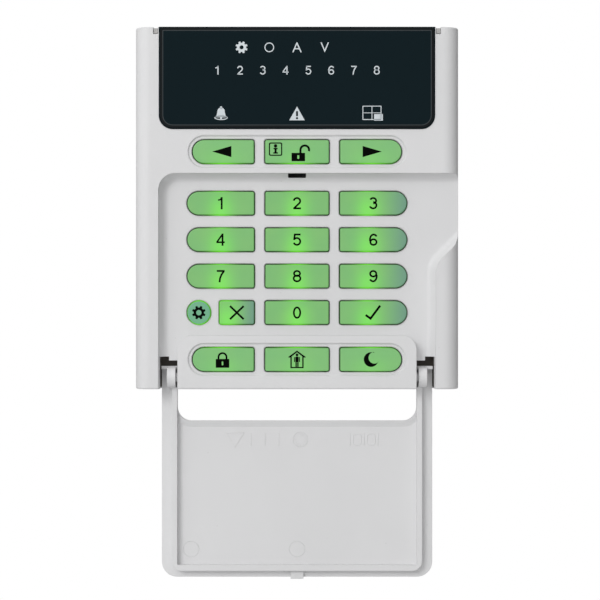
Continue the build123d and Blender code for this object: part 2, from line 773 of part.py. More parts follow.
header_place = (38, -14)
header_w, header_h, header_t, header_wall = 5.4, 13.0, 6.5, 0.75
header_floor = 1.0
header_pin_w, header_pin_pitch, header_pins = 0.64, 2.54, 4
header_pin_t = 6.0
with BuildPart() as data_header:
    with BuildSketch(at_depth(back_d)):
        with Locations(header_place):
            Rectangle(header_w, header_h)
    extrude(amount=-header_t)
    with BuildSketch(at_depth(back_d + header_t)):
        with Locations(header_place):
            Rectangle(header_w - 2 * header_wall, header_h - 2 * header_wall)
    extrude(amount=header_t - header_floor, mode=Mode.SUBTRACT)
    with BuildSketch(at_depth(back_d)):
        with Locations(header_place):
            with GridLocations(header_pin_pitch, header_pin_pitch, 1, header_pins):
                Rectangle(header_pin_w, header_pin_w)
    extrude(amount=-header_pin_t)
data_header.part.label = "data_header"
export_step(data_header.part, "parts/data_header.step")

sounder_r, sounder_t, sounder_x, sounder_z = 8.0, 7.5, -32.0, -4.0
sounder_port_r, sounder_port_deep = 1.2, 2.0
with BuildPart() as sounder:
    with BuildSketch(at_depth(back_d)):
        with Locations((sounder_x, sounder_z)):
            Circle(sounder_r)
    extrude(amount=-sounder_t)
    fillet(sounder.faces().sort_by(Axis.Y)[-1].edges(), 0.6)
    with BuildSketch(at_depth(back_d + sounder_t)):
        with Locations((sounder_x, sounder_z)):
            Circle(sounder_port_r)
    extrude(amount=sounder_port_deep, mode=Mode.SUBTRACT)
sounder.part.label = "sounder"
export_step(sounder.part, "parts/sounder.step")

tamper_x, tamper_z, tamper_w, tamper_t = 30.0, 36.0, 7.0, 5.0
plunger_r = 1.8
plunger_deep = 2.5  # how far the plunger sits in the switch
with BuildPart() as tamper_switch:
    with BuildSketch(at_depth(back_d)):
        with Locations((tamper_x, tamper_z)):
            RectangleRounded(tamper_w, tamper_w, 0.6)
    extrude(amount=-tamper_t)
    with BuildSketch(at_depth(back_d + tamper_t)):
        with Locations((tamper_x, tamper_z)):
            Circle(plunger_r + 0.2)
    extrude(amount=plunger_deep, mode=Mode.SUBTRACT)
tamper_switch.part.label = "tamper_switch"
export_step(tamper_switch.part, "parts/tamper_switch.step")

plunger_low = back_d + tamper_t - plunger_deep
plunger_end = panel_d - case_back - 1.0
with BuildPart() as tamper_plunger:
    with BuildSketch(at_depth(plunger_end)):
        with Locations((tamper_x, tamper_z)):
            Circle(plunger_r)
    extrude(amount=plunger_end - plunger_low)
    fillet(tamper_plunger.faces().sort_by(Axis.Y)[-1].edges(), 0.5)
tamper_plunger.part.label = "tamper_plunger"
export_step(tamper_plunger.part, "parts/tamper_plunger.step")

with BuildPart() as board_screws:
    with BuildSketch(at_depth(back_d)):
        with Locations(*board_post_places):
            Circle(board_screw_r)
    extrude(amount=board_t + board_screw_bite)
    with BuildSketch(at_depth(back_d)):
        with Locations(*board_post_places):
            Circle(screw_head_r)
    extrude(amount=-screw_head_t)
    fillet(board_screws.faces().filter_by(Axis.Y).group_by(Axis.Y)[-1].edges(), 0.5)
    with BuildSketch(at_depth(back_d + screw_head_t)):
        with Locations(*board_post_places):
            Rectangle(cross_l, cross_w)
            Rectangle(cross_w, cross_l)
    extrude(amount=cross_d, mode=Mode.SUBTRACT)
board_screws.part.label = "board_screws"
export_step(board_screws.part, "parts/board_screws.step")

# ---- rear case -----------------------------------------------------------------------------------
case_w = panel_w - 2 * case_inset
case_h = panel_h - 2 * case_inset
case_d = panel_d - cover_d
lip_w = panel_w - 2 * wall - 2 * case_lip_gap
lip_h = panel_h - 2 * wall - 2 * case_lip_gap
inside_w = case_w - 2 * case_wall
inside_h = case_h - 2 * case_wall
screw_z = -half_h + screw_head_t + head_sunk  # where the case screw's head bears
boss_low = -half_h + wall + pad + 0.15
boss_w = 8.0
boss_h = 6.0
seat_w, seat_t = 3.0, 1.2  # raised seats round the wall screws' holes
back_rib_w, back_rib_t = 1.2, 1.0  # stiffening ribs on the back plate
rib_spacing = 24.0
rib_field_h = 32.0
rib_field_z = 30.0
cable_rim = 1.5
cable_corner = 2.0
sound_slots = 6
sound_slot_w, sound_slot_h, sound_slot_pitch = 4.5, 1.2, 3.0
sound_slot_in = 5.5  # from the wall to the middle of a slot

with BuildPart() as rear_case:
    with BuildSketch(at_depth(panel_d)):
        RectangleRounded(case_w, case_h, 1.2)
    extrude(amount=case_d)
    fillet(rear_case.faces().sort_by(Axis.Y)[-1].edges(), 0.8)
    with BuildSketch(at_depth(cover_d)):
        Rectangle(lip_w, lip_h)
    extrude(amount=case_lip_h)
    with BuildSketch(at_depth(panel_d - case_back)):
        RectangleRounded(inside_w, inside_h, 2)
    extrude(amount=case_d + case_lip_h, mode=Mode.SUBTRACT)
    with BuildSketch(at_depth(cover_d)):
        with Locations((0, -half_h + wall)):
            Rectangle(pad_w + 0.8, 2 * wall)
    extrude(amount=case_lip_h + 1, mode=Mode.SUBTRACT)
    # boss that takes the case screw
    with BuildSketch(at_depth(panel_d - 1)):
        with Locations((0, boss_low + boss_h / 2)):
            Rectangle(boss_w, boss_h)
    extrude(amount=panel_d - 1 - case_screw_d + boss_w / 2 - 1)
    with BuildSketch(at_depth(panel_d - 1)):
        with Locations((0, boss_low - 0.5)):
            Rectangle(boss_w, 2)
    extrude(amount=case_d - 1.2)
    with BuildSketch(from_bottom(boss_low)):
        with Locations((0, face_y + case_screw_d)):
            Circle(case_screw_r + screw_clear)
    extrude(amount=boss_h - 0.5, mode=Mode.SUBTRACT)
    # prongs that hang the cover
    prong_low = half_h - hook_h - hook_gap
    prong_h = half_h - case_inset - prong_low
    with BuildSketch(at_depth(cover_d + 2)):
        for side in (-1, 1):
            with Locations((side * hook_x, prong_low + prong_h / 2)):
                Rectangle(hook_w, prong_h)
    extrude(amount=cover_d + 2 - prong_d)
    # raised seats and holes for the wall screws, pads let into the back plate
    corner_x = corner_holes_w / 2
    corner_places = [(x, side * corner_holes_h / 2) for x in (-corner_x, corner_x) for side in (-1, 1)]
    box_places = [(-box_holes_w / 2, cable_z), (box_holes_w / 2, cable_z)]
    with BuildSketch(at_depth(panel_d - case_back / 2)):
        with Locations(*corner_places, *box_places):
            Circle(wall_hole_r + seat_w)
    extrude(amount=case_back / 2 + seat_t)
    # stiffening ribs, the post under the tamper plunger and a rim round the cable opening
    with BuildSketch(at_depth(panel_d - case_back / 2)):
        with Locations((0, rib_field_z)):
            with GridLocations(rib_spacing, 1, 3, 1):
                Rectangle(back_rib_w, rib_field_h + 12)
            with GridLocations(1, rib_field_h, 1, 2):
                Rectangle(inside_w + 1, back_rib_w)
        with Locations((tamper_x, tamper_z)):
            Circle(tamper_w / 2)
        with Locations((0, cable_z)):
            RectangleRounded(cable_w + 2 * cable_rim, cable_h + 2 * cable_rim, cable_corner)
    extrude(amount=case_back / 2 + back_rib_t)
    with BuildSketch(at_depth(panel_d)):
        with Locations(*corner_places, *box_places):
            Circle(wall_hole_r)
        with Locations((0, cable_z)):
            RectangleRounded(cable_w, cable_h, cable_corner)
    extrude(amount=case_back + 3, mode=Mode.SUBTRACT)
    # sound slots in the left side
    with BuildSketch(from_side(-half_w)):
        with Locations((-sound_slot_in, sounder_z)):
            with GridLocations(1, sound_slot_pitch, 1, sound_slots):
                Rectangle(sound_slot_w, sound_slot_h)
    extrude(amount=case_wall + 2, mode=Mode.SUBTRACT)
rear_case.part.label = "rear_case"
export_step(rear_case.part, "parts/rear_case.step")

with BuildPart() as case_screw:
    with BuildSketch(from_bottom(screw_z)):
        with Locations((0, face_y + case_screw_d)):
            Circle(case_screw_r)
    extrude(amount=case_screw_len)
    with BuildSketch(from_bottom(screw_z)):
        with Locations((0, face_y + case_screw_d)):
            Circle(screw_head_r)
    extrude(amount=-screw_head_t)
    chamfer(case_screw.faces().sort_by(Axis.Z)[0].edges(), 0.3)
    with BuildSketch(from_bottom(screw_z - screw_head_t)):
        with Locations((0, face_y + case_screw_d)):
            Rectangle(cross_l, cross_w)
            Rectangle(cross_w, cross_l)
    extrude(amount=cross_d, mode=Mode.SUBTRACT)
case_screw.part.label = "case_screw"
export_step(case_screw.part, "parts/case_screw.step")
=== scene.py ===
# %% [markdown]
# # Alarm keypad panel, a lesson in cells
# The object is a wall-mounted keypad: a pale moulded box, a smoked window with printed indicators,
# nineteen keys lit from behind, and a flap that hangs open on two moulded pins.
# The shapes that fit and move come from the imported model, so this script never moves them. It adds
# what a shape model can't hold: finishes, printed legends, moulding marks, light and a camera.

# %% Load the frame
import math
import bmesh
import bpy
from mathutils import Matrix, Vector


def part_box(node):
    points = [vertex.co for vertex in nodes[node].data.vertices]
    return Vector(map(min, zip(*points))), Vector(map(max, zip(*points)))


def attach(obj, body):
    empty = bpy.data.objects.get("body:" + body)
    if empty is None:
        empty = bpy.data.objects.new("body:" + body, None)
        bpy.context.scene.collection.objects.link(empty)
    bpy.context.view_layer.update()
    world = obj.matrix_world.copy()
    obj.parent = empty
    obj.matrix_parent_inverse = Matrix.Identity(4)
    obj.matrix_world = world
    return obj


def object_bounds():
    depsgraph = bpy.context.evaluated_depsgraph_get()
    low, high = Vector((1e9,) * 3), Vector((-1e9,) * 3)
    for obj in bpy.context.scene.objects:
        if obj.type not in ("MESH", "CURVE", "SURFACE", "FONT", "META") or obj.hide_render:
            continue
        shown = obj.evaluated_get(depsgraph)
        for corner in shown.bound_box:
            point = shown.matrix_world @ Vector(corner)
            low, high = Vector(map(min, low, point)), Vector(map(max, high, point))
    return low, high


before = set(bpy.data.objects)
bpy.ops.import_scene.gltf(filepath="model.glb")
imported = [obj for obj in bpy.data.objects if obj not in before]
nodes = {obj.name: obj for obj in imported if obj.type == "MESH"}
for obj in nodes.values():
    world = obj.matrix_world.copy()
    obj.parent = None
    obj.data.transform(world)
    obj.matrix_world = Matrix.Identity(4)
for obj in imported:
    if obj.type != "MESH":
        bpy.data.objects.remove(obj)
cad_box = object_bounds()
MM = 0.001
FLOAT, VECTOR, WHOLE = "NodeSocketFloat", "NodeSocketVector", "NodeSocketInt"

# %% [markdown]
# Every place below is read from the frame. The face of the panel looks along -Y, so the lowest Y of
# the cover is its flat face, and a key's lowest Y is the surface that a finger touches.

# %% Places read from the frame
cover_low, cover_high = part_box("front_cover")
window_low, window_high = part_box("display_window")
flap_low, flap_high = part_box("flap")
case_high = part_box("rear_case")[1]
face_y = cover_low.y
key_names = [name for name in nodes if name.startswith("key_")]
key_middle = {name: (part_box(name)[0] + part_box(name)[1]) / 2 for name in key_names}
print("face at", round(face_y / MM, 2), "mm; keys", len(key_names))

# %% [markdown]
# ## Camera
# A product picture is taken square-on from some way off, so that the sides hardly show. A long lens
# does that: the camera stands well over half a metre from the face, a little below the middle of
# the panel so that the hanging flap is in the frame too, and looks straight along +Y.

# %% Camera
camera_distance = 0.69
view_width = 0.2127  # what the picture takes in at the face
aim = Vector((1.06 * MM, face_y, -32.6 * MM))
camera_data = bpy.data.cameras.new("camera")
camera_data.sensor_width = 36.0
camera_data.lens = camera_data.sensor_width * camera_distance / view_width
camera_data.clip_start = 0.01
camera = bpy.data.objects.new("camera", camera_data)
camera.location = aim - Vector((0, camera_distance, 0))
camera.rotation_euler = (math.radians(90), 0, 0)
bpy.context.scene.collection.objects.link(camera)
bpy.context.scene.camera = camera
print("lens", round(camera_data.lens, 1), "mm")

# %% [markdown]
# ## Building blocks for materials
# A Principled shader takes its constants on its own sockets, and textures reach it through links.
# These helpers keep the cells below short: one makes the shader, one adds and wires any node in one
# line, and the others are the nodes that come up again and again.


# %% Material helpers
def new_material(name, **constants):
    """An empty Principled material. Constants are socket names with underscores for spaces."""
    material = bpy.data.materials.new(name)
    material.use_nodes = True
    shader = material.node_tree.nodes["Principled BSDF"]
    for socket, value in constants.items():
        shader.inputs[socket.replace("_", " ")].default_value = value
    return material, shader


def add_node(tree, kind, settings=None, **inputs):
    """Adds a node. An input is either a value or the output socket that it is linked from."""
    node = tree.nodes.new(kind)
    for name, value in (settings or {}).items():
        setattr(node, name, value)
    for name, value in inputs.items():
        socket = node.inputs[int(name[1:])] if name[1:].isdigit() else node.inputs[name.replace("_", " ")]
        if isinstance(value, bpy.types.NodeSocket):
            tree.links.new(value, socket)
        else:
            socket.default_value = value
    return node


def math_node(tree, operation, a, b=0.0, clamp=False):
    """One Math node, for its output."""
    node = add_node(tree, "ShaderNodeMath", {"operation": operation, "use_clamp": clamp}, i0=a, i1=b)
    return node.outputs["Value"]


def mix_colour(tree, share, low, high):
    """Mixes two colours, for the mixed colour."""
    node = add_node(tree, "ShaderNodeMix", {"data_type": "RGBA"}, i0=share, i6=low, i7=high)
    return node.outputs[2]


def map_value(tree, value, low, high):
    """Maps 0..1 to low..high, for the result."""
    node = add_node(tree, "ShaderNodeMapRange", Value=value, To_Min=low, To_Max=high)
    return node.outputs["Result"]


def ramp(tree, value, start, end, settings=None, **ends):
    """0 at start and 1 at end, or the ends that are given."""
    node = add_node(tree, "ShaderNodeMapRange", settings, Value=value, From_Min=start, From_Max=end, **ends)
    return node.outputs["Result"]


def vector_node(tree, operation, a, b=(0, 0, 0), out="Vector"):
    """One Vector Math node, for its output."""
    node = add_node(tree, "ShaderNodeVectorMath", {"operation": operation}, i0=a, i1=b)
    return node.outputs[out]


def object_place(tree):
    """Where a point lies on the object, in metres."""
    return add_node(tree, "ShaderNodeTexCoord").outputs["Object"]


def set_input(tree, shader, name, value):
    tree.links.new(value, shader.inputs[name])


def add_bump(tree, shader, strength, distance, height, **normal):
    """Roughens a shader's normal by a height texture. The distance is in millimetres."""
    bump = add_node(
        tree, "ShaderNodeBump", Strength=strength, Distance=distance * MM, Height=height, **normal)
    set_input(tree, shader, "Normal", bump.outputs["Normal"])


def new_group(name, inputs, outputs):
    """A shader node group with named sockets. Each entry is a name and a socket kind, and an input
    also has its default value."""
    group = bpy.data.node_groups.new(name, "ShaderNodeTree")
    for label, kind, default in inputs:
        socket = group.interface.new_socket(label, in_out="INPUT", socket_type=kind)
        socket.default_value = default
    for label, kind in outputs:
        group.interface.new_socket(label, in_out="OUTPUT", socket_type=kind)
    return group, group.nodes.new("NodeGroupInput"), group.nodes.new("NodeGroupOutput")


def use_group(material, group, **inputs):
    """Places a group in a material with this material's own values."""
    node = material.node_tree.nodes.new("ShaderNodeGroup")
    node.node_tree = group
    for name, value in inputs.items():
        node.inputs[name.replace("_", " ")].default_value = value
    return node


# %% [markdown]
# ## Studio
# White walls all round give the soft, even light of a light tent. One broad lamp at the upper left
# adds direction. The tent's left wall and its back are dimmer than its front, and the right wall is
# nearly unlit, so the roundings of the sides and the walls that face right fall into a gentle shade.
# The camera itself sees pure white all round.
# The floor throws light back up as pale paint does, but the camera sees it as white as the walls,
# so that no horizon crosses the picture.

# %% Studio
tent_strength = 0.95
left_level, right_level, back_level = 0.60, 0.02, 0.35  # the tent's walls, as shares of its front
wall_levels = ((0.5, 1.0), (0.72, 0.5))  # between the left wall at 0 and the right wall at 1
scene = bpy.context.scene
scene.view_settings.view_transform = "Standard"
world = bpy.data.worlds.new("light_tent")
scene.world = world
world.use_nodes = True
tree = world.node_tree
tree.nodes.clear()
direction = add_node(tree, "ShaderNodeTexCoord").outputs["Generated"]
axes = add_node(tree, "ShaderNodeSeparateXYZ", Vector=direction).outputs
across = ramp(tree, axes["X"], -1.0, 1.0)
walls = add_node(tree, "ShaderNodeFloatCurve", Value=across)
curve = walls.mapping.curves[0]
for place, level in zip(curve.points, (left_level, right_level)):
    place.location = (place.location.x, level)
for place in wall_levels:
    curve.points.new(*place)
walls.mapping.update()
behind = ramp(tree, axes["Y"], -0.1, 0.4, To_Min=1.0, To_Max=back_level)
shaded = math_node(tree, "MULTIPLY", walls.outputs["Value"], tent_strength)
shaded = math_node(tree, "MULTIPLY", shaded, behind)
seen = add_node(tree, "ShaderNodeLightPath").outputs["Is Camera Ray"]
strength = map_value(tree, seen, shaded, 1.0)
tent = add_node(tree, "ShaderNodeBackground", Color=(1, 1, 1, 1), Strength=strength)
add_node(tree, "ShaderNodeOutputWorld", Surface=tent.outputs["Background"])


def softbox(name, place, side, power):
    """A square area lamp that points at the middle of the panel."""
    data = bpy.data.lights.new(name, "AREA")
    data.shape = "SQUARE"
    data.size = side
    data.energy = power
    lamp = bpy.data.objects.new(name, data)
    lamp.location = place
    lamp.rotation_euler = (-Vector(place)).to_track_quat("-Z", "Y").to_euler()
    scene.collection.objects.link(lamp)


softbox("key_softbox", (-0.62, -1.08, 0.5), 0.55, 5.3)
floor_drop = 0.06
floor_radius = 3.0
floor_mesh = bpy.data.meshes.new("floor")
floor_edit = bmesh.new()
bmesh.ops.create_circle(floor_edit, cap_ends=True, segments=64, radius=floor_radius)
floor_edit.to_mesh(floor_mesh)
floor_edit.free()
floor = bpy.data.objects.new("floor", floor_mesh)
floor.location.z = cad_box[0].z - floor_drop
scene.collection.objects.link(floor)
floor_paint = bpy.data.materials.new("floor_paint")
floor_paint.use_nodes = True
tree = floor_paint.node_tree
tree.nodes.clear()
seen = add_node(tree, "ShaderNodeLightPath").outputs["Is Camera Ray"]
paint = add_node(tree, "ShaderNodeBsdfDiffuse", Color=(0.82, 0.82, 0.82, 1)).outputs["BSDF"]
white = add_node(tree, "ShaderNodeEmission").outputs["Emission"]
either = add_node(tree, "ShaderNodeMixShader", Fac=seen, i1=paint, i2=white)
add_node(tree, "ShaderNodeOutputMaterial", Surface=either.outputs["Shader"])
floor_mesh.materials.append(floor_paint)

# %% [markdown]
# ## Moulded grain
# A steel mould for such a housing is spark-eroded, which leaves a fine, even, leathery grain on the
# plastic. It could be real displacement, but the bumps are a few hundredths of a millimetre, so a
# height for a Bump node is enough. Two noises at different sizes keep it from looking like sand,
# and a third, very broad one gives the faint cloudiness that every large moulding has.

# %% Moulded grain
grain_group, g_in, g_out = new_group(
    "moulded_grain",
    [("Grains per Metre", FLOAT, 2200.0), ("Cloud Size", FLOAT, 30.0)],
    [("Height", FLOAT), ("Cloud", FLOAT), ("Speck", FLOAT)],
)
where = object_place(grain_group)
grains, clouds = g_in.outputs["Grains per Metre"], g_in.outputs["Cloud Size"]
fine = add_node(grain_group, "ShaderNodeTexNoise", Vector=where, Scale=grains, Detail=2.0)
half_size = math_node(grain_group, "MULTIPLY", grains, 0.37)
cells = add_node(grain_group, "ShaderNodeTexVoronoi", {"feature": "SMOOTH_F1"}, Vector=where, Scale=half_size)
soft = math_node(grain_group, "MULTIPLY", fine.outputs[0], 0.6)
hard = math_node(grain_group, "MULTIPLY", cells.outputs["Distance"], 0.4)
height = math_node(grain_group, "ADD", soft, hard)
cloud = add_node(grain_group, "ShaderNodeTexNoise", Vector=where, Scale=clouds, Detail=3.0)
dots = add_node(grain_group, "ShaderNodeTexVoronoi", Vector=where, Scale=160.0).outputs["Distance"]
speck = ramp(grain_group, dots, 0.05, 0.02)
grain_group.links.new(height, g_out.inputs["Height"])
grain_group.links.new(cloud.outputs[0], g_out.inputs["Cloud"])
grain_group.links.new(speck, g_out.inputs["Speck"])

# %% [markdown]
# ## Handling marks
# Where hands and cloths pass, plastic and metal gather hair-thin rub marks. They are long in one
# direction, so the noise is stretched, and a second noise breaks them into patches.

# %% Rub marks
rub_group, r_in, r_out = new_group(
    "rub_marks",
    [("Direction Stretch", VECTOR, (1.0, 1.0, 9.0)), ("Density", FLOAT, 260.0)],
    [("Mask", FLOAT)],
)
where = object_place(rub_group)
drawn = vector_node(rub_group, "DIVIDE", where, r_in.outputs["Direction Stretch"])
density = r_in.outputs["Density"]
lines = add_node(rub_group, "ShaderNodeTexNoise", Vector=drawn, Scale=density, Detail=5.0)
patches = add_node(rub_group, "ShaderNodeTexNoise", Vector=where, Scale=45.0, Detail=2.0)
both = math_node(rub_group, "MULTIPLY", lines.outputs[0], patches.outputs[0])
rub_group.links.new(ramp(rub_group, both, 0.26, 0.48), r_out.inputs["Mask"])

# %% [markdown]
# ## Soft edges
# No moulded edge is perfectly sharp. A Bevel node bends the shading over the last fraction of a
# millimetre, which catches the light like a real radius, and the angle between the bent and the true
# normal is a ready-made mask of where the edges are: that is where dirt and shine collect.

# %% Soft edges
edge_group, e_in, e_out = new_group(
    "soft_edges",
    [("Radius", FLOAT, 0.25 * MM)],
    [("Normal", VECTOR), ("Edge", FLOAT)],
)
bent = add_node(edge_group, "ShaderNodeBevel", {"samples": 4}, Radius=e_in.outputs["Radius"])
true_normal = add_node(edge_group, "ShaderNodeNewGeometry").outputs["Normal"]
agree = vector_node(edge_group, "DOT_PRODUCT", bent.outputs[0], true_normal, "Value")
edge_group.links.new(bent.outputs[0], e_out.inputs["Normal"])
edge_group.links.new(ramp(edge_group, agree, 0.995, 0.85), e_out.inputs["Edge"])

# %% [markdown]
# ## Painted shade in the deep pockets
# Light that falls into the hinge chambers and the latch slot hardly comes out again. A mask of
# everything deeper than the recess floor, but not of the outer walls, paints that shade into the
# plastic's colour as a warm dark grey. Run the other way, the same mask paints a grey shade on the
# two prongs of the rear case that come up through the cover's top edge.

# %% Deep shade
shade_group, d_in, d_out = new_group(
    "deep_shade",
    [("Start", FLOAT, 0.0), ("End", FLOAT, 1.0),
     ("Half Width", FLOAT, 1.0), ("Half Height", FLOAT, 1.0)],
    [("Mask", FLOAT)],
)
axes = add_node(shade_group, "ShaderNodeSeparateXYZ", Vector=object_place(shade_group)).outputs
inside = ramp(shade_group, axes["Y"], d_in.outputs["Start"], d_in.outputs["End"])
for axis, limit in (("X", "Half Width"), ("Z", "Half Height")):
    off_middle = math_node(shade_group, "ABSOLUTE", axes[axis])
    near = math_node(shade_group, "LESS_THAN", off_middle, d_in.outputs[limit])
    inside = math_node(shade_group, "MULTIPLY", inside, near)
shade_group.links.new(inside, d_out.inputs["Mask"])

# %% [markdown]
# ## Housing plastic
# The cover, the rear case and the flap are moulded in the same pale grey-white ABS. The colour comes
# from a light base, a slow cloudiness and a few dark specks of regrind. Edges are a shade lighter
# and smoother. The flap's inner side never had the grain polished as finely, so each of the three
# gets the same recipe with its own numbers.


# %% Housing plastic
side_margin, top_margin = 4 * MM, 0.5 * MM  # the cover's outer skin, which is never shaded


def housing_plastic(name, colour, grains, bump, edge_radius, shade_start, shade_end):
    material, shader = new_material(name, Specular_IOR_Level=0.42, IOR=1.5)
    tree = material.node_tree
    grain = use_group(material, grain_group, Grains_per_Metre=grains, Cloud_Size=28.0)
    edges = use_group(material, edge_group, Radius=edge_radius)
    rubs = use_group(material, rub_group, Density=240.0)
    darker = tuple(0.955 * c for c in colour) + (1,)
    lighter = tuple(min(1.0, 1.03 * c) for c in colour) + (1,)
    base = mix_colour(tree, grain.outputs["Cloud"], darker, lighter)
    specks = math_node(tree, "MULTIPLY", grain.outputs["Speck"], 0.16)
    base = mix_colour(tree, specks, base, (0.30, 0.29, 0.27, 1))
    worn = math_node(tree, "MULTIPLY", edges.outputs["Edge"], 0.35)
    base = mix_colour(tree, worn, base, lighter)
    # Painted shade: the deep pockets of the cover and the case's two prongs turn a warm dark grey.
    shade = use_group(
        material, shade_group, Start=shade_start, End=shade_end,
        Half_Width=cover_high.x - side_margin, Half_Height=cover_high.z - top_margin,
    )
    base = mix_colour(tree, shade.outputs["Mask"], base, (0.120, 0.104, 0.084, 1))
    set_input(tree, shader, "Base Color", base)
    rough = map_value(tree, grain.outputs["Cloud"], 0.43, 0.56)
    polish = math_node(tree, "MULTIPLY", edges.outputs["Edge"], 0.10)
    rough = math_node(tree, "SUBTRACT", rough, polish)
    polish = math_node(tree, "MULTIPLY", rubs.outputs["Mask"], 0.06)
    set_input(tree, shader, "Roughness", math_node(tree, "SUBTRACT", rough, polish, clamp=True))
    add_bump(tree, shader, bump, 0.05, grain.outputs["Height"], Normal=edges.outputs["Normal"])
    return material


pocket_y = face_y + 4.9 * MM  # just behind the recess floor
prong_y = face_y + 10 * MM  # in front of this, the rear case is only the two prongs
far_back = case_high.y + 1.0
cover_plastic = housing_plastic(
    "cover_plastic", (0.755, 0.755, 0.762), 2300.0, 0.22, 0.3 * MM, pocket_y, pocket_y + 3 * MM)
case_plastic = housing_plastic(
    "case_plastic", (0.72, 0.72, 0.722), 1500.0, 0.35, 0.35 * MM, prong_y, face_y - 12 * MM)
flap_plastic = housing_plastic(
    "flap_plastic", (0.765, 0.765, 0.772), 2600.0, 0.18, 0.25 * MM, far_back, far_back + 1.0)

# %% [markdown]
# ## Smoked window
# The window is polished acrylic dyed nearly black, with a breath of blue. Clear glass shading would
# need the whole stack behind it to be lit. A very dark glossy plastic gives the same picture: a deep
# colour, sharp reflections on the bevel, and wiping marks that only change the gloss.

# %% Smoked window
smoked_acrylic, shader = new_material(
    "smoked_acrylic", IOR=1.49, Specular_IOR_Level=0.10, Specular_Tint=(0.75, 0.95, 1.0, 1)
)
tree = smoked_acrylic.node_tree
haze = use_group(smoked_acrylic, grain_group, Grains_per_Metre=900.0, Cloud_Size=14.0)
wipes = use_group(smoked_acrylic, rub_group, Direction_Stretch=(14.0, 1.0, 1.6), Density=420.0)
tint = mix_colour(tree, haze.outputs["Cloud"], (0.0016, 0.0070, 0.0100, 1), (0.0030, 0.0100, 0.0135, 1))
set_input(tree, shader, "Base Color", tint)
set_input(tree, shader, "Roughness", map_value(tree, wipes.outputs["Mask"], 0.06, 0.16))
add_bump(tree, shader, 0.02, 0.02, haze.outputs["Height"])

# %% [markdown]
# ## Backlit keys
# Each key is a hollow cap of milky plastic over one green lamp. The lamp sits low behind the middle
# of the key, so there is a bright yellow-green patch there that fades to a cooler green at the ends.
# The patch is a soft distance from the lamp, measured with more reach along the key than across it.
# The sides of a cap carry the light out to the rim, so next to the lamp they shine more than the top
# does, and further off the gap round the key is dark: there the sides also get a darker colour, a
# painted shade in the gap. Keys at the right end of a row trail off to a dim, bluish grey where the
# lamp doesn't reach. The object itself lights its surroundings only weakly, so the housing hardly
# takes on the green.

# %% Lamp glow
glow_group, l_in, l_out = new_group(
    "lamp_glow",
    [("Lamp", VECTOR, (0, 0, 0)), ("Reach", VECTOR, (6 * MM, 1.0, 7 * MM))],
    [("Glow", FLOAT), ("Column", FLOAT), ("Side", FLOAT),
     ("Patch", FLOAT)],
)
spot = add_node(glow_group, "ShaderNodeTexCoord")
away = vector_node(glow_group, "SUBTRACT", spot.outputs["Object"], l_in.outputs["Lamp"])
away = vector_node(glow_group, "DIVIDE", away, l_in.outputs["Reach"])
reach = vector_node(glow_group, "LENGTH", away, out="Value")
sideways = add_node(glow_group, "ShaderNodeSeparateXYZ", Vector=away).outputs["X"]


def bell_curve(tree, distance):
    """1 at no distance, fading smoothly to 0."""
    square = math_node(tree, "MULTIPLY", distance, distance)
    return math_node(tree, "EXPONENT", math_node(tree, "MULTIPLY", square, -1.0))


fade = bell_curve(glow_group, reach)
column = bell_curve(glow_group, sideways)
facing = add_node(glow_group, "ShaderNodeSeparateXYZ", Vector=spot.outputs["Normal"]).outputs["Y"]
facing = math_node(glow_group, "ABSOLUTE", facing)
cast = add_node(glow_group, "ShaderNodeTexNoise", Vector=spot.outputs["Object"], Scale=130.0, Detail=1.0)
glow_group.links.new(fade, l_out.inputs["Glow"])
glow_group.links.new(column, l_out.inputs["Column"])
glow_group.links.new(ramp(glow_group, facing, 0.75, 0.25), l_out.inputs["Side"])
glow_group.links.new(cast.outputs[0], l_out.inputs["Patch"])

# %% Key plastic
lamp_drop = 3.3 * MM
sunk_from, sunk_to = 0.9 * MM, 1.4 * MM  # behind a key's top; deeper than this, it is in its opening
right_column = 20 * MM
raised_keys = ("key_left", "key_unlock", "key_right", "key_lock", "key_home", "key_night")


def key_plastic(name, lamp, reach, cool, bright, dim_from, dim_to, top):
    material, shader = new_material(name, IOR=1.46, Specular_IOR_Level=0.3)
    tree = material.node_tree
    glow = use_group(material, glow_group, Lamp=lamp, Reach=reach)
    grain = use_group(material, grain_group, Grains_per_Metre=1900.0, Cloud_Size=60.0)
    axes = add_node(tree, "ShaderNodeSeparateXYZ", Vector=object_place(tree)).outputs
    dim = ramp(tree, axes["X"], dim_from, dim_to, {"interpolation_type": "SMOOTHSTEP"})
    milk = mix_colour(tree, glow.outputs["Patch"], (0.125, 0.240, 0.125, 1), (0.165, 0.280, 0.115, 1))
    milk = mix_colour(tree, dim, milk, (0.150, 0.215, 0.180, 1))
    strong = math_node(tree, "MULTIPLY", glow.outputs["Glow"], bright)
    light = mix_colour(tree, strong, cool, (0.095, 0.600, 0.008, 1))
    light = mix_colour(tree, dim, light, (0.030, 0.130, 0.070, 1))
    buried = ramp(tree, axes["Y"], top + sunk_from, top + sunk_to)
    gap = math_node(tree, "MAXIMUM", glow.outputs["Side"], buried)
    light = mix_colour(tree, gap, light, (0.010, 0.040, 0.006, 1))
    rim = math_node(tree, "MULTIPLY", gap, glow.outputs["Column"])
    light = mix_colour(tree, rim, light, (0.130, 0.700, 0.004, 1))
    set_input(tree, shader, "Emission Color", light)
    seen = add_node(tree, "ShaderNodeLightPath").outputs["Is Camera Ray"]
    spill = map_value(tree, buried, 0.35, 0.0)
    set_input(tree, shader, "Emission Strength", map_value(tree, seen, spill, 1.0))
    # Painted shade: the sides in the gap and inside the opening take a dark green-grey colour.
    milk = mix_colour(tree, gap, milk, (0.050, 0.080, 0.045, 1))
    set_input(tree, shader, "Base Color", milk)
    set_input(tree, shader, "Roughness", map_value(tree, grain.outputs["Cloud"], 0.36, 0.50))
    add_bump(tree, shader, 0.12, 0.04, grain.outputs["Height"])
    return material


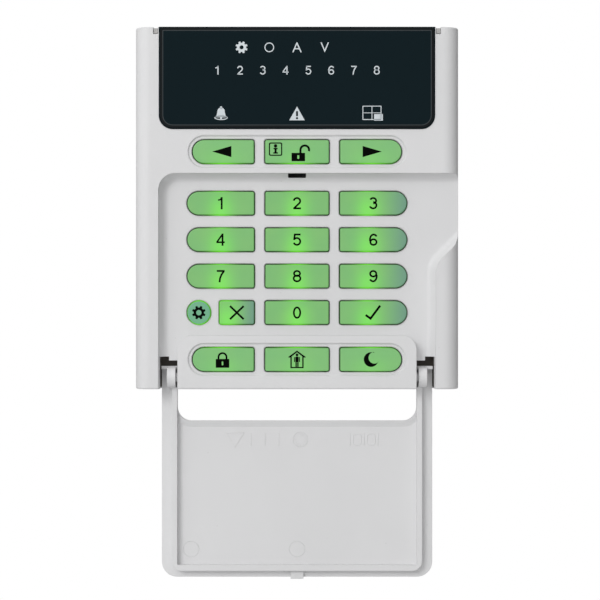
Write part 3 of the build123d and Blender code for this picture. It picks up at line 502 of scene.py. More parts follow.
for name in key_names:
    middle = key_middle[name]
    low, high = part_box(name)
    long_way = (high.x - low.x) / 2
    lamp = Vector((middle.x, middle.y, middle.z - lamp_drop))
    dim_from, dim_to = high.x + 10 * MM, high.x + 20 * MM
    reach, cool, bright = (4.2 * MM, 1.0, 6.5 * MM), (0.078, 0.255, 0.066, 1), 0.76
    if name == "key_setup":
        reach, cool, bright = (5 * MM, 1.0, 5 * MM), (0.030, 0.180, 0.150, 1), 0.05
    elif name in raised_keys:
        reach, cool, bright = (6 * MM, 1.0, 4 * MM), (0.085, 0.270, 0.080, 1), 0.25
    elif name == "key_cancel":
        lamp.x -= 0.45 * long_way
        dim_from, dim_to = middle.x - 0.1 * long_way, middle.x + 0.9 * long_way
    elif middle.x > right_column:
        lamp.x -= 0.15 * long_way
        dim_from, dim_to = middle.x + 0.15 * long_way, middle.x + 0.95 * long_way
    nodes[name].data.materials[0] = key_plastic(
        name + "_plastic", lamp, reach, cool, bright, dim_from, dim_to, low.y)
print("key materials", len(key_names))

# %% [markdown]
# ## Inner parts
# The rest sits inside, and shows only through the cable opening or when the case is taken apart, but
# each still gets its own finish: solder mask with copper traces, moulded black epoxy, silicone,
# plated steel, foam, film and reflector plastic.


# %% Plain plastics with grain
def grained(name, low, high, rough, grains, bump, **constants):
    """A moulded or rubbery finish: two tones by cloudiness, a roughness range and a grain."""
    material, shader = new_material(name, **constants)
    tree = material.node_tree
    grain = use_group(material, grain_group, Grains_per_Metre=grains, Cloud_Size=70.0)
    rubs = use_group(material, rub_group, Density=300.0)
    tone = mix_colour(tree, grain.outputs["Cloud"], (*low, 1), (*high, 1))
    set_input(tree, shader, "Base Color", tone)
    set_input(tree, shader, "Roughness", map_value(tree, rubs.outputs["Mask"], rough[1], rough[0]))
    add_bump(tree, shader, bump, 0.05, grain.outputs["Height"])
    return material


foam = grained("tape_foam", (0.012, 0.012, 0.013), (0.035, 0.035, 0.036), (0.8, 0.95), 3000.0, 0.7)
film = grained("printed_film", (0.006, 0.010, 0.012), (0.012, 0.018, 0.020), (0.25, 0.35), 800.0, 0.05)
reflector = grained("reflector_plastic", (0.78, 0.78, 0.75), (0.86, 0.86, 0.84), (0.45, 0.6), 1800.0, 0.2)
silicone = grained("mat_silicone", (0.50, 0.52, 0.50), (0.62, 0.63, 0.61), (0.5, 0.7), 1200.0, 0.15)
tree = silicone.node_tree
shader = tree.nodes["Principled BSDF"]
tone = shader.inputs["Base Color"].links[0].from_socket
# Painted shade: ambient occlusion darkens the mat's colour towards black where the keys and cover close over
# it.
covered = add_node(tree, "ShaderNodeAmbientOcclusion", {"samples": 4}, Distance=8 * MM, Color=tone)
tone = mix_colour(tree, covered.outputs["AO"], (0.020, 0.020, 0.020, 1), covered.outputs["Color"])
set_input(tree, shader, "Base Color", tone)
epoxy = grained("black_epoxy", (0.012, 0.012, 0.013), (0.030, 0.030, 0.031), (0.45, 0.65), 2600.0, 0.4)
terminal_green = grained("terminal_plastic", (0.02, 0.17, 0.06), (0.04, 0.24, 0.09), (0.4, 0.55), 1600.0, 0.2)
lamp_body = grained("lamp_body", (0.72, 0.68, 0.42), (0.86, 0.84, 0.62), (0.2, 0.35), 900.0, 0.05)
green_lamp = grained(
    "green_lamp", (0.25, 0.70, 0.10), (0.40, 0.90, 0.20), (0.2, 0.3), 900.0, 0.05,
    Emission_Color=(0.15, 0.9, 0.02, 1), Emission_Strength=2.0,
)

# %% [markdown]
# Zinc-plated screws are bright but never mirrors: the plating has a grain drawn round by the thread
# rolling. Here the rub marks are stretched and turned into roughness and a faint bump.

# %% Plated steel
steel, shader = new_material("plated_steel", Metallic=1.0)
tree = steel.node_tree
drawn_lines = use_group(steel, rub_group, Direction_Stretch=(1.0, 12.0, 1.0), Density=900.0)
dull = use_group(steel, grain_group, Grains_per_Metre=1500.0, Cloud_Size=220.0)
tone = mix_colour(tree, dull.outputs["Cloud"], (0.44, 0.44, 0.43, 1), (0.66, 0.66, 0.64, 1))
set_input(tree, shader, "Base Color", tone)
set_input(tree, shader, "Roughness", map_value(tree, drawn_lines.outputs["Mask"], 0.22, 0.46))
add_bump(tree, shader, 0.15, 0.02, drawn_lines.outputs["Mask"])

# %% [markdown]
# A circuit board's traces run in straight lines that step sideways. A brick texture with long bricks
# gives such lines cheaply: the mortar is the copper, seen as a lighter green under the mask.

# %% Circuit board
solder_mask, shader = new_material("solder_mask", Coat_Weight=0.5, Coat_Roughness=0.12)
tree = solder_mask.node_tree
flat = add_node(tree, "ShaderNodeMapping", Vector=object_place(tree), Rotation=(math.radians(90), 0, 0))
traces = add_node(
    tree, "ShaderNodeTexBrick", Vector=flat.outputs["Vector"], Scale=90.0, Mortar_Size=0.06,
    Color1=(0, 0, 0, 1), Color2=(0, 0, 0, 1), Mortar=(1, 1, 1, 1),
)
weave = use_group(solder_mask, grain_group, Grains_per_Metre=700.0, Cloud_Size=40.0)
mask_green = mix_colour(tree, weave.outputs["Cloud"], (0.008, 0.085, 0.030, 1), (0.014, 0.125, 0.045, 1))
mask_green = mix_colour(tree, traces.outputs["Color"], mask_green, (0.045, 0.24, 0.08, 1))
set_input(tree, shader, "Base Color", mask_green)
set_input(tree, shader, "Roughness", map_value(tree, weave.outputs["Cloud"], 0.28, 0.42))
add_bump(tree, shader, 0.4, 0.03, traces.outputs["Color"])

# %% [markdown]
# Each node of the model has one material slot, so a finish is put on by assigning to that slot.

# %% Put the finishes on
finishes = {
    "front_cover": cover_plastic, "rear_case": case_plastic, "flap": flap_plastic,
    "display_window": smoked_acrylic, "window_tape": foam, "legend_film": film,
    "indicator_light_box": reflector, "indicator_leds": lamp_body, "backlight_leds": green_lamp,
    "keypad_mat": silicone, "circuit_board": solder_mask, "microcontroller": epoxy,
    "board_components": epoxy, "wiring_terminal": terminal_green, "terminal_screws": steel,
    "data_header": epoxy, "sounder": epoxy, "tamper_switch": epoxy, "tamper_plunger": reflector,
    "board_screws": steel, "case_screw": steel,
}
for name, finish in finishes.items():
    nodes[name].data.materials[0] = finish
print("finishes on", len(finishes), "nodes and", len(key_names), "keys")

# %% [markdown]
# ## Printed legends
# The symbols are screen-printed: a film of ink a few hundredths of a millimetre thick. They could be
# painted by the shader, but a real thin solid stays crisp at any distance and is kept by an export.
# An outline is a list of points in millimetres. A flat curve fills the first loop and leaves the
# others open, so one shape is one outer loop and its holes.


# %% Outline helpers
def arc(cx, cy, radius, start, end, steps=24):
    """Points along an arc, angles in degrees."""
    angles = [math.radians(start + (end - start) * n / steps) for n in range(steps + 1)]
    return [(cx + radius * math.cos(a), cy + radius * math.sin(a)) for a in angles]


def circle(cx, cy, radius, steps=40):
    return arc(cx, cy, radius, 0, 360, steps)[:-1]


def rectangle(cx, cy, width, height):
    x, y = width / 2, height / 2
    return [(cx - x, cy - y), (cx + x, cy - y), (cx + x, cy + y), (cx - x, cy + y)]


def rounded(cx, cy, width, height, radius):
    """A rectangle with round corners."""
    x, y = width / 2 - radius, height / 2 - radius
    corners = ((x, -y, -90), (x, y, 0), (-x, y, 90), (-x, -y, 180))
    return [p for a, b, turn in corners for p in arc(cx + a, cy + b, radius, turn, turn + 90, 6)]


def stroke(points, width):
    """The outline of a bent line of even width, with mitred corners."""
    left, right = [], []
    for n, point in enumerate(points):
        here = Vector(point)
        before = (here - Vector(points[n - 1])).normalized() if n else None
        after = (Vector(points[n + 1]) - here).normalized() if n + 1 < len(points) else None
        along = ((before or after) + (after or before)).normalized()
        across = Vector((-along.y, along.x))
        straight = after or before
        reach = width / 2 / max(0.3, across.dot(Vector((-straight.y, straight.x))))
        left.append(tuple(here + across * reach))
        right.append(tuple(here - across * reach))
    return left + right[::-1]


def gear(cx, cy, outer, root, hole, teeth=8):
    """A cog: each tooth is a short arc at the outer radius, with the root between."""
    step = 360 / teeth
    points = []
    for tooth in range(teeth):
        middle = tooth * step + step / 2
        points += arc(cx, cy, outer, middle - 0.2 * step, middle + 0.2 * step, 3)
        points += arc(cx, cy, root, middle + 0.33 * step, middle + 0.67 * step, 3)
    return [points, circle(cx, cy, hole)]


# %% [markdown]
# The two letters use Blender's own font, scaled to exactly the height asked for. Both
# text and flat curves are made on the ground plane, turned into a mesh, then stood up against the
# face, since the parts of a finished piece must lie where they belong with the object at the origin.


# %% Make print from outlines and text
def mesh_of(curve):
    """The mesh of a curve or text, with its doubled points merged."""
    source = bpy.data.objects.new("source", curve)
    scene.collection.objects.link(source)
    bpy.context.view_layer.update()
    made = bpy.data.meshes.new_from_object(source.evaluated_get(bpy.context.evaluated_depsgraph_get()))
    bpy.data.objects.remove(source)
    bpy.data.curves.remove(curve)
    edit = bmesh.new()
    edit.from_mesh(made)
    bmesh.ops.remove_doubles(edit, verts=edit.verts, dist=1e-5)
    edit.to_mesh(made)
    edit.free()
    return made


def shape_mesh(loops, thickness):
    """A flat solid of one outer loop and its holes, in millimetres."""
    curve = bpy.data.curves.new("outline", "CURVE")
    curve.dimensions = "2D"
    curve.fill_mode = "BOTH"
    curve.extrude = thickness / 2
    for loop in loops:
        spline = curve.splines.new("POLY")
        spline.points.add(len(loop) - 1)
        for point, (x, y) in zip(spline.points, loop):
            point.co = (x, y, 0, 1)
        spline.use_cyclic_u = True
    return mesh_of(curve)


def text_mesh(text, height, thickness, weight):
    """Text of that height, centred on its own middle, in millimetres."""
    curve = bpy.data.curves.new("text", "FONT")
    curve.body = text
    curve.size = 10.0
    curve.offset = weight
    curve.resolution_u = 6
    curve.extrude = 0.5
    made = mesh_of(curve)
    low = Vector([min(v.co[k] for v in made.vertices) for k in range(3)])
    high = Vector([max(v.co[k] for v in made.vertices) for k in range(3)])
    grow = height / (high.y - low.y)
    made.transform(Matrix.Translation(-(low + high) / 2))
    made.transform(Matrix.Diagonal((grow, grow, thickness, 1)))
    return made


def stand_up(meshes, name, body, place, material):
    """Joins flat meshes, stands them against the face at a place, and lets them ride on a body."""
    whole = bmesh.new()
    for made in meshes:
        whole.from_mesh(made)
        bpy.data.meshes.remove(made)
    result = bpy.data.meshes.new(name)
    whole.to_mesh(result)
    whole.free()
    upright = Matrix.Rotation(math.radians(90), 4, "X")
    result.transform(Matrix.Translation(place) @ upright @ Matrix.Scale(MM, 4))
    result.materials.append(material)
    piece = bpy.data.objects.new(name, result)
    scene.collection.objects.link(piece)
    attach(piece, body)


# %% [markdown]
# Figures are built from the same few strokes that a sign writer uses: rings, arcs and bars of even
# weight. Nine is six turned round.


# %% Figures
drawn_height = 4.35  # the height that the strokes below are drawn for


def swing(cx, cy, rx, ry, start, end, steps=24):
    """Points along part of an oval, angles in degrees."""
    return [(cx + rx * x, cy + ry * y) for x, y in arc(0, 0, 1, start, end, steps)]


def ring_of(cx, cy, rx, ry, weight):
    """An oval ring whose middle line has those radii."""
    return [swing(cx, cy, rx + half, ry + half, 0, 352.5, 47) for half in (weight / 2, -weight / 2)]


def figure(number, height, weight):
    """The parts of one figure, each an outer loop and its holes, centred on its own middle."""
    w = weight
    bar = drawn_height / 2 - w / 2  # middle of a stroke along the top
    bowl = 1.32 - w / 2
    parts = {
        0: [ring_of(0, 0, 1.46 - w / 2, bar, w)],
        1: [[rectangle(0.35, 0, w, drawn_height)],
            [stroke([(-0.95, 1.12), (-0.3, 1.2), (0.1, 1.5), (0.3, 2.1)], 0.8 * w)]],
        2: [[stroke(swing(-0.02, bar - 1.12, 1.14, 1.12, 172, -36, 22) + [(-1.12, -bar)], w)],
            [rectangle(0.02, -bar, 2.76, w)]],
        3: [[stroke(swing(-0.08, bar - 0.95, 1.06, 0.95, 158, -88, 22), w)],
            [stroke(swing(-0.08, -bar + 1.12, 1.18, 1.12, 88, -160, 24), w)]],
        4: [[rectangle(0.66, 0, w, drawn_height)], [rectangle(-0.05, -0.92, 3.0, 0.9 * w)],
            [stroke([(0.62, 1.9), (-1.36, -0.86)], 0.9 * w)]],
        5: [[rectangle(0.12, bar, 2.25, w)], [stroke([(-0.78, bar + 0.2), (-1.04, -0.12)], w)],
            [stroke(swing(-0.05, -bar + 1.22, 1.2, 1.22, 142, -158, 24), w)]],
        6: [ring_of(0.04, -bar + bowl, 1.42 - w / 2, bowl, w),
            [stroke(swing(0.12, 0, 1.32, bar, 38, 196, 24), w)]],
        7: [[rectangle(0, bar, 2.8, w)],
            [stroke([(1.12, bar - 0.1), (0.25, 0.5), (-0.25, -0.8), (-0.42, -drawn_height / 2)], w)]],
        8: [ring_of(0, bar - 0.9, 1.06, 0.9, w), ring_of(0, -bar + 1.04, 1.2, 1.04, w)],
    }
    parts[9] = [[[(-x, -y) for x, y in loop] for loop in loops] for loops in parts[6]]
    grow = height / drawn_height
    return [[[(grow * x, grow * y) for x, y in loop] for loop in loops] for loops in parts[number]]


# %% [markdown]
# Black ink on a key is slightly glossy and not perfectly even. The window's symbols are printed in a
# pale grey behind the acrylic, and look a little soft and cool, with a faint painted glow.

# %% Inks
black_ink = grained(
    "black_ink", (0.0015, 0.002, 0.0015), (0.003, 0.004, 0.003), (0.6, 0.8), 1500.0, 0.15,
    Specular_IOR_Level=0.02,
)
# The pale ink carries a faint emission, a painted glow that lifts the symbols.
pale_ink = grained(
    "pale_ink", (0.56, 0.61, 0.64), (0.66, 0.71, 0.74), (0.4, 0.55), 1500.0, 0.1,
    Emission_Color=(0.5, 0.55, 0.57, 1), Emission_Strength=0.1,
)
# The two finishes below are a painted dark reflection and a painted highlight for the window's bevel.
rim_gloss = ((0.3, 0.4), 1200.0, 0.05)
painted_bevel_reflection = grained(
    "painted_bevel_reflection", (0.004, 0.006, 0.007), (0.007, 0.009, 0.010), *rim_gloss, Specular_IOR_Level=0.1)
painted_bevel_highlight = grained(
    "painted_bevel_highlight", (0.040, 0.048, 0.052), (0.055, 0.064, 0.070), *rim_gloss, Specular_IOR_Level=0.1)
ink_thick = 0.05  # mm
key_ink_rise = -0.25 * ink_thick * MM  # from the surface out to the middle of the ink
window_ink_rise = 0.2 * ink_thick * MM
key_figure = (drawn_height, 0.66)  # height and weight, mm
zone_figure = (3.1, 0.56)


def cut_out(parts, thickness=ink_thick):
    """The meshes of a symbol's parts."""
    return [shape_mesh(loops, thickness) for loops in parts]

# %% Key symbols
symbols = {}
symbols["key_left"] = [[[(-3.4, 0.0), (3.4, -1.98), (3.4, 1.98)]]]
symbols["key_right"] = [[[(3.4, 0.0), (-3.4, 1.98), (-3.4, -1.98)]]]
symbols["key_setup"] = [gear(0, 0, 2.45, 1.85, 0.95)]
symbols["key_cancel"] = [
    [stroke([(-2.45, -2.35), (2.45, 2.35)], 0.72)],
    [stroke([(-2.45, 2.35), (2.45, -2.35)], 0.72)],
]
symbols["key_confirm"] = [[stroke([(-2.75, -0.85), (-1.0, -2.1), (2.45, 2.5)], 0.8)]]
moon = arc(0, 0, 2.6, 62, 340, 36) + arc(1.15, 0.62, 2.05, 318, 95, 26)
symbols["key_night"] = [[moon]]
shackle = arc(0, 0.85, 1.75, 0, 180, 20) + arc(0, 0.85, 1.1, 180, 0, 20)
lock_body = rounded(0, -1.35, 4.8, 3.1, 0.2)
lock_slit = rounded(0, -1.35, 0.55, 1.35, 0.2)
shackle_feet = [[rectangle(x, 0.5, 0.65, 0.75)] for x in (-1.42, 1.42)]
symbols["key_lock"] = [[lock_body, lock_slit], [shackle]] + shackle_feet
print("symbols", len(symbols))

# %% More key symbols
open_shackle = arc(2.75, 0.6, 1.9, -18, 180, 22) + arc(2.75, 0.6, 1.15, 180, -18, 22)
open_body = rounded(0.45, -1.95, 4.8, 2.95, 0.15)
open_slit = rounded(0.45, -1.95, 0.7, 1.3, 0.25)
open_lock = [[open_body, open_slit], [open_shackle], [rectangle(1.22, 0.1, 0.75, 1.4)]]
badge_x, badge_y = -7.6, 0.85
badge = [
    [rounded(badge_x, badge_y, 4.75, 4.75, 0.6), rounded(badge_x, badge_y, 3.9, 3.9, 0.35)],
    [circle(badge_x, badge_y + 1.15, 0.62, 20)],
    [rectangle(badge_x, badge_y - 0.45, 0.75, 1.7)],
    [rounded(badge_x, badge_y + 0.2, 1.5, 0.5, 0.2)],
    [rounded(badge_x, badge_y - 1.35, 1.7, 0.5, 0.2)],
]
symbols["key_unlock"] = open_lock + badge

house_wall, house_low, eaves = 2.35, -3.05, 0.75
house_outside = [
    (-house_wall, house_low), (house_wall, house_low), (house_wall, eaves), (2.9, eaves - 0.1),
    (3.15, eaves + 0.15), (0, 3.2), (-3.15, eaves + 0.15), (-2.9, eaves - 0.1), (-house_wall, eaves),
]
house_inside = [(-1.85, -2.6), (1.85, -2.6), (1.85, 1.1), (0, 2.55), (-1.85, 1.1)]
person = [
    [circle(0, 1.65, 0.5, 20)],
    [rounded(0, 0.1, 1.15, 1.9, 0.25)],
    [rectangle(-0.32, -1.65, 0.48, 2.0)],
    [rectangle(0.32, -1.65, 0.48, 2.0)],
    [rectangle(-0.86, 0.0, 0.34, 1.75)],
    [rectangle(0.86, 0.0, 0.34, 1.75)],
]
symbols["key_home"] = [[house_outside, house_inside]] + person

# %% Print the keys
shift = {"key_left": -0.5, "key_right": 0.5, "key_lock": -0.25, "key_night": 0.1}  # mm
for name in key_names:
    middle = key_middle[name]
    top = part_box(name)[0].y
    place = Vector((middle.x + shift.get(name, 0.0) * MM, top - key_ink_rise, middle.z))
    parts = symbols[name] if name in symbols else figure(int(name[-1]), *key_figure)
    stand_up(cut_out(parts), name + "_legend", name, place, black_ink)
print("legends", len(key_names))

# %% [markdown]
# The window carries three rows: four mode symbols, the eight zone figures and three state symbols.
# They stand over the lamps of the indicator board, so their places come from the lamps themselves:
# the frame has all fifteen in one node. Walking its connected faces finds each lamp, and sorting
# them by height and then from left to right puts them in reading order.


# %% Where the lamps are
def lamp_places(node):
    """Middle of each separate lamp in a node, found by walking its connected faces."""
    edit = bmesh.new()
    edit.from_mesh(nodes[node].data)
    bmesh.ops.remove_doubles(edit, verts=edit.verts, dist=1e-6)
    reached, found = set(), []
    for first in edit.verts:
        if first in reached:
            continue
        reached.add(first)
        group, waiting = [], [first]
        while waiting:
            vertex = waiting.pop()
            group.append(vertex.co.copy())
            near = [e.other_vert(vertex) for e in vertex.link_edges]
            waiting += [v for v in near if v not in reached]
            reached.update(near)
        found.append(sum(group, Vector()) / len(group))
    edit.free()
    return sorted(found, key=lambda p: (-round(p.z, 3), p.x))


indicator = lamp_places("indicator_leds")
print("indicator lamps", len(indicator))

# %% Print the window
dome = arc(0, 0.85, 1.3, 0, 180, 16)
bell = [
    [[(2.15, -1.3), (1.6, -0.6), (1.35, 0.4)] + dome + [(-1.35, 0.4), (-1.6, -0.6), (-2.15, -1.3)]],
    [circle(0, 2.2, 0.42, 16)],
    ring_of(0, -1.45, 2.2, 0.62, 0.32),
    [circle(0, -1.62, 0.36, 16)],
]
alert = [
    [[(-2.75, -2.35), (2.75, -2.35), (0.0, 2.55)], rounded(0, 0.0, 0.7, 1.9, 0.25), circle(0, -1.6, 0.4, 16)],
]
pane_frame = [rounded(-0.35, 0.3, 6.7, 5.0, 0.2)]
pane_frame += [rectangle(-0.35 + x, 0.3 + z, 2.95, 2.12) for x in (-1.6, 1.6) for z in (-1.17, 1.17)]
panes = [pane_frame, [rectangle(1.95, -1.3, 3.1, 2.3)]]
ring = [[circle(0, 0, 1.72), circle(0, 0, 1.38)]]
window_print = [("mode", [gear(0, 0, 2.15, 1.62, 0.72)]), ("open_ring", ring)]
letters = {2: ("mode_a", "A", 3.5), 3: ("mode_v", "V", 3.5)}
letter_weight = -0.05
states = {12: ("state_bell", bell), 13: ("state_alert", alert), 14: ("state_area", panes)}
for number, lamp in enumerate(indicator):
    place = Vector((lamp.x, window_low.y - window_ink_rise, lamp.z))
    if number in letters:
        label, text, tall = letters[number]
        meshes = [text_mesh(text, tall, ink_thick, letter_weight)]
    else:
        if number < 2:
            label, parts = window_print[number]
        elif number < 12:
            label, parts = f"zone_{number - 3}", figure(number - 3, *zone_figure)
        else:
            label, parts = states[number]
        meshes = cut_out(parts)
    stand_up(meshes, label + "_print", "housing", place, pale_ink)

# %% [markdown]
# The window's bevelled rim gets a painted dark reflection: an opaque black band, which also hides the
# tape under it. A thin paler line along the inner side of the band is a painted highlight on the
# bevel's edge. Both follow the outline of the window.


# %% Rim of the window
window_corners = (4.8, 1.3)  # radius of the lower and of the upper corners, mm


def window_loop(inset):
    """Outline of the window shrunk by an inset, about the window's own middle, in millimetres."""
    x = (window_high.x - window_low.x) / 2 / MM - inset
    z = (window_high.z - window_low.z) / 2 / MM - inset
    low, high = window_corners
    corners = ((x, -z, -90, low), (x, z, 0, high), (-x, z, 90, high), (-x, -z, 180, low))
    points = []
    for cx, cz, turn, radius in corners:
        r = max(0.3, radius - inset)
        points += arc(cx - math.copysign(r, cx), cz - math.copysign(r, cz), r, turn, turn + 90, 8)
    return points


window_middle = (window_low + window_high) / 2
front = Vector((window_middle.x, window_low.y - window_ink_rise, window_middle.z))
# A painted dark reflection band and a painted highlight line along the window's rim.
for label, outer, inner, ink in (("painted_bevel_band", 0.42, 1.2, painted_bevel_reflection), ("painted_bevel_highlight", 1.2, 1.5, painted_bevel_highlight)):
    band = shape_mesh([window_loop(outer), window_loop(inner)], ink_thick)
    stand_up([band], "window_" + label, "housing", front, ink)

# %% [markdown]
# ## Moulding marks
# The inside of a moulding shows how it was made: rings where the ejector pins pushed it out of the
# mould, and a small dial that dates the tool. They repeat, so Geometry Nodes make them: a grid of
# points, a ring swept along a circle on each point, then Realize Instances so that an export keeps
# them. The dial's ticks are the same idea on the points of a circle.


# %% Geometry Nodes helpers
def geometry_tree(name, inputs):
    """A Geometry Nodes tree with named inputs and one geometry output."""
    tree = bpy.data.node_groups.new(name, "GeometryNodeTree")
    tree.interface.new_socket("Geometry", in_out="INPUT", socket_type="NodeSocketGeometry")
    for label, kind, default in inputs:
        tree.interface.new_socket(label, in_out="INPUT", socket_type=kind).default_value = default
    tree.interface.new_socket("Geometry", in_out="OUTPUT", socket_type="NodeSocketGeometry")
    return tree, tree.nodes.new("NodeGroupInput"), tree.nodes.new("NodeGroupOutput")


def run_geometry(name, tree, values, body):
    """Runs a tree on an empty mesh and keeps the result as a plain mesh that rides on a body."""
    source = bpy.data.objects.new(name + "_source", bpy.data.meshes.new(name + "_source"))
    scene.collection.objects.link(source)
    modifier = source.modifiers.new("make", "NODES")
    modifier.node_group = tree
    for item in tree.interface.items_tree:
        if item.in_out == "INPUT" and item.name in values:
            modifier[item.identifier] = values[item.name]
    bpy.context.view_layer.update()
    made = bpy.data.meshes.new_from_object(source.evaluated_get(bpy.context.evaluated_depsgraph_get()))
    bpy.data.objects.remove(source)
    made.name = name
    piece = bpy.data.objects.new(name, made)
    scene.collection.objects.link(piece)
    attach(piece, body)
    print(name, "faces", len(made.polygons))


def close_tree(tree, tree_out, instances, place, material, upright=True, smooth=True):
    """The end of every tree: real geometry, put in its place, with its shading and material."""
    solid = add_node(tree, "GeometryNodeRealizeInstances", Geometry=instances)
    turn = (math.radians(90) if upright else 0, 0, 0)
    last = add_node(
        tree, "GeometryNodeTransform", Geometry=solid.outputs["Geometry"], Translation=place, Rotation=turn)
    if smooth:
        last = add_node(tree, "GeometryNodeSetShadeSmooth", Geometry=last.outputs["Geometry"])
    coat = add_node(
        tree, "GeometryNodeSetMaterial", Geometry=last.outputs["Geometry"], Material=material)
    tree.links.new(coat.outputs["Geometry"], tree_out.inputs["Geometry"])


def circle_curve(tree, points, radius):
    return add_node(
        tree, "GeometryNodeCurvePrimitiveCircle", Resolution=points, Radius=radius).outputs["Curve"]


def sweep(tree, path, profile):
    """A profile curve swept along a path, for the mesh."""
    swept = add_node(tree, "GeometryNodeCurveToMesh", Curve=path, Profile_Curve=profile)
    return swept.outputs["Mesh"]


# %% Ejector-pin rings
ring_tree, ring_in, ring_out = geometry_tree("ejector_rings", [
    ("Columns", WHOLE, 3), ("Rows", WHOLE, 2),
    ("Width", FLOAT, 0.06), ("Height", FLOAT, 0.04),
    ("Ring Radius", FLOAT, 2.2 * MM), ("Bead Radius", FLOAT, 0.08 * MM),
    ("Place", VECTOR, (0, 0, 0)),
])
sizes = ring_in.outputs
points = add_node(
    ring_tree, "GeometryNodeMeshGrid", Size_X=sizes["Width"], Size_Y=sizes["Height"],
    Vertices_X=sizes["Columns"], Vertices_Y=sizes["Rows"],
)
path = circle_curve(ring_tree, 40, sizes["Ring Radius"])
ring_mesh = sweep(ring_tree, path, circle_curve(ring_tree, 8, sizes["Bead Radius"]))
copies = add_node(
    ring_tree, "GeometryNodeInstanceOnPoints", Points=points.outputs["Mesh"], Instance=ring_mesh)
close_tree(ring_tree, ring_out, copies.outputs["Instances"], sizes["Place"], flap_plastic)

flap_skin = 1.8 * MM
skin_y = flap_high.y - flap_skin  # the inner face of the flap's skin
case_back_y = case_high.y - 0.04 * MM  # the middle of a mark on the case's back
run_geometry("flap_ejector_rings", ring_tree, {
    "Columns": 2, "Rows": 1, "Width": 38 * MM, "Height": 0.0, "Ring Radius": 2.8 * MM,
    "Bead Radius": 0.05 * MM, "Place": (-19 * MM, skin_y, flap_low.z + 10.5 * MM),
}, "flap")
run_geometry("case_ejector_rings", ring_tree, {
    "Columns": 4, "Rows": 3, "Width": 96 * MM, "Height": 66 * MM, "Ring Radius": 3.0 * MM,
    "Bead Radius": 0.10 * MM, "Place": (0.0, case_back_y, 22 * MM),
}, "housing")

# %% Tool-date dial
dial_tree, dial_in, dial_out = geometry_tree("tool_date_dial", [
    ("Ticks", WHOLE, 12), ("Tick Circle", FLOAT, 1.9 * MM),
    ("Tick Length", FLOAT, 0.7 * MM), ("Tick Width", FLOAT, 0.2 * MM),
    ("Relief", FLOAT, 0.16 * MM), ("Place", VECTOR, (0, 0, 0)),
])
sizes = dial_in.outputs
dial_circle = circle_curve(dial_tree, sizes["Ticks"], sizes["Tick Circle"])
dial_points = add_node(
    dial_tree, "GeometryNodeCurveToPoints", {"mode": "EVALUATED"}, Curve=dial_circle).outputs
tick_size = add_node(
    dial_tree, "ShaderNodeCombineXYZ", X=sizes["Tick Width"], Y=sizes["Tick Length"], Z=sizes["Relief"])
tick = add_node(dial_tree, "GeometryNodeMeshCube", Size=tick_size.outputs["Vector"])
radial = add_node(
    dial_tree, "FunctionNodeAlignRotationToVector", {"axis": "Y"}, Vector=dial_points["Normal"])
ticks = add_node(
    dial_tree, "GeometryNodeInstanceOnPoints", Points=dial_points["Points"],
    Instance=tick.outputs["Mesh"], Rotation=radial.outputs["Rotation"],
)
rim_path = circle_curve(dial_tree, 40, math_node(dial_tree, "MULTIPLY", sizes["Tick Circle"], 1.4))
rim_bead = circle_curve(dial_tree, 8, math_node(dial_tree, "MULTIPLY", sizes["Relief"], 0.6))
both = dial_tree.nodes.new("GeometryNodeJoinGeometry")
dial_tree.links.new(ticks.outputs["Instances"], both.inputs[0])
dial_tree.links.new(sweep(dial_tree, rim_path, rim_bead), both.inputs[0])
close_tree(dial_tree, dial_out, both.outputs[0], sizes["Place"], flap_plastic, smooth=False)

marks_drop = 26.5 * MM  # from the flap's hinge end down to the row of marks
marks_z = flap_high.z - marks_drop
flap_dial = {"Place": (1.2 * MM, skin_y, marks_z)}
case_dial = {"Place": (40 * MM, case_back_y, -48 * MM)}
run_geometry("flap_date_dial", dial_tree, flap_dial, "flap")
run_geometry("case_date_dial", dial_tree, case_dial, "housing")

# %% [markdown]
# The flap's own marks are a plain triangle, a few bars and two links, raised by a tenth of a
# millimetre. Real ones name the plastic, but lettering is left out here, so the shapes only keep the
# look of a marked moulding.

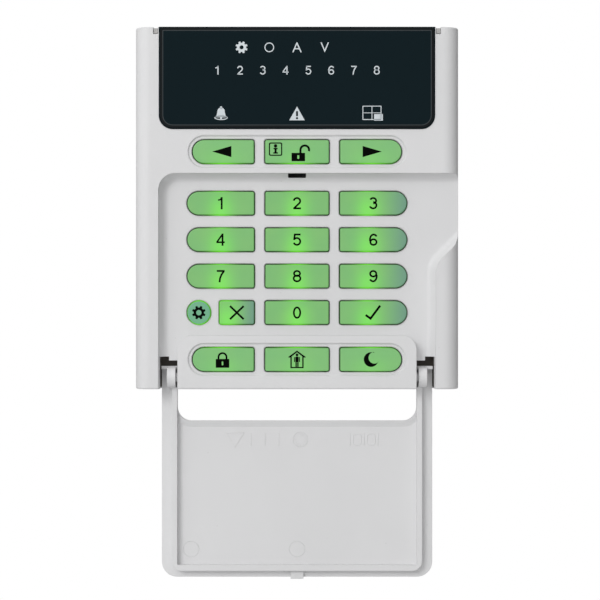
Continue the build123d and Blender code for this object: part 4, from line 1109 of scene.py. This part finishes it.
# %% Raised marks on the flap
mark_thick = 0.2  # mm; half of it is sunk in the skin
triangle = [[(-3.4, 2.6), (3.4, 2.6), (0.0, -3.0)], [(-2.85, 2.28), (2.85, 2.28), (0.0, -2.4)]]
bar_marks = [[rectangle(x, 0, 0.35, 4.4)] for x in (-5.0, 0.0, 5.0)]
bar_marks += [[rounded(x, 0, 3.2, 4.4, 1.2), rounded(x, 0, 2.5, 3.7, 0.85)] for x in (-2.5, 2.5)]
flap_marks = {
    "flap_mark_triangle": (-22.3, marks_z, [triangle]),
    "flap_mark_bars_left": (-11.6, marks_z, bar_marks[:3]),
    "flap_mark_bars_right": (24.0, marks_z, bar_marks),
}
for label, (x, z, parts) in flap_marks.items():
    place = Vector((x * MM, skin_y, z))
    stand_up(cut_out(parts, mark_thick), label, "flap", place, flap_plastic)
print("marks", len(flap_marks))

# %% [markdown]
# ## Solder joints
# The terminal block's pins come through the board, and each ends in a small shiny cone of solder.
# One more tree sets a row of them, flattened domes on a line of points.

# %% Solder joints
joint_tree, joint_in, joint_out = geometry_tree("solder_row", [
    ("Count", WHOLE, 6), ("Pitch", FLOAT, 5 * MM),
    ("Radius", FLOAT, 0.9 * MM), ("Place", VECTOR, (0, 0, 0)),
])
sizes = joint_in.outputs
step = add_node(joint_tree, "ShaderNodeCombineXYZ", X=sizes["Pitch"])
row = add_node(joint_tree, "GeometryNodeMeshLine", Count=sizes["Count"], Offset=step.outputs["Vector"])
dome = add_node(joint_tree, "GeometryNodeMeshUVSphere", Segments=14, Rings=8, Radius=sizes["Radius"])
cones = add_node(
    joint_tree, "GeometryNodeInstanceOnPoints", Points=row.outputs["Mesh"], Instance=dome.outputs["Mesh"],
    Scale=(1.0, 0.55, 1.0),
)
close_tree(joint_tree, joint_out, cones.outputs["Instances"], sizes["Place"], steel, upright=False)

board_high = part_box("circuit_board")[1]
block_low, block_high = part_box("wiring_terminal")
ways = 6
solder_drop = 2.2 * MM  # from the terminal block's lower side down to its pins
way = (block_high.x - block_low.x) / ways
first_way = block_low.x + way / 2
run_geometry("terminal_solder", joint_tree, {
    "Count": ways, "Pitch": way, "Radius": 0.9 * MM,
    "Place": (first_way, board_high.y, block_low.z - solder_drop),
}, "housing")
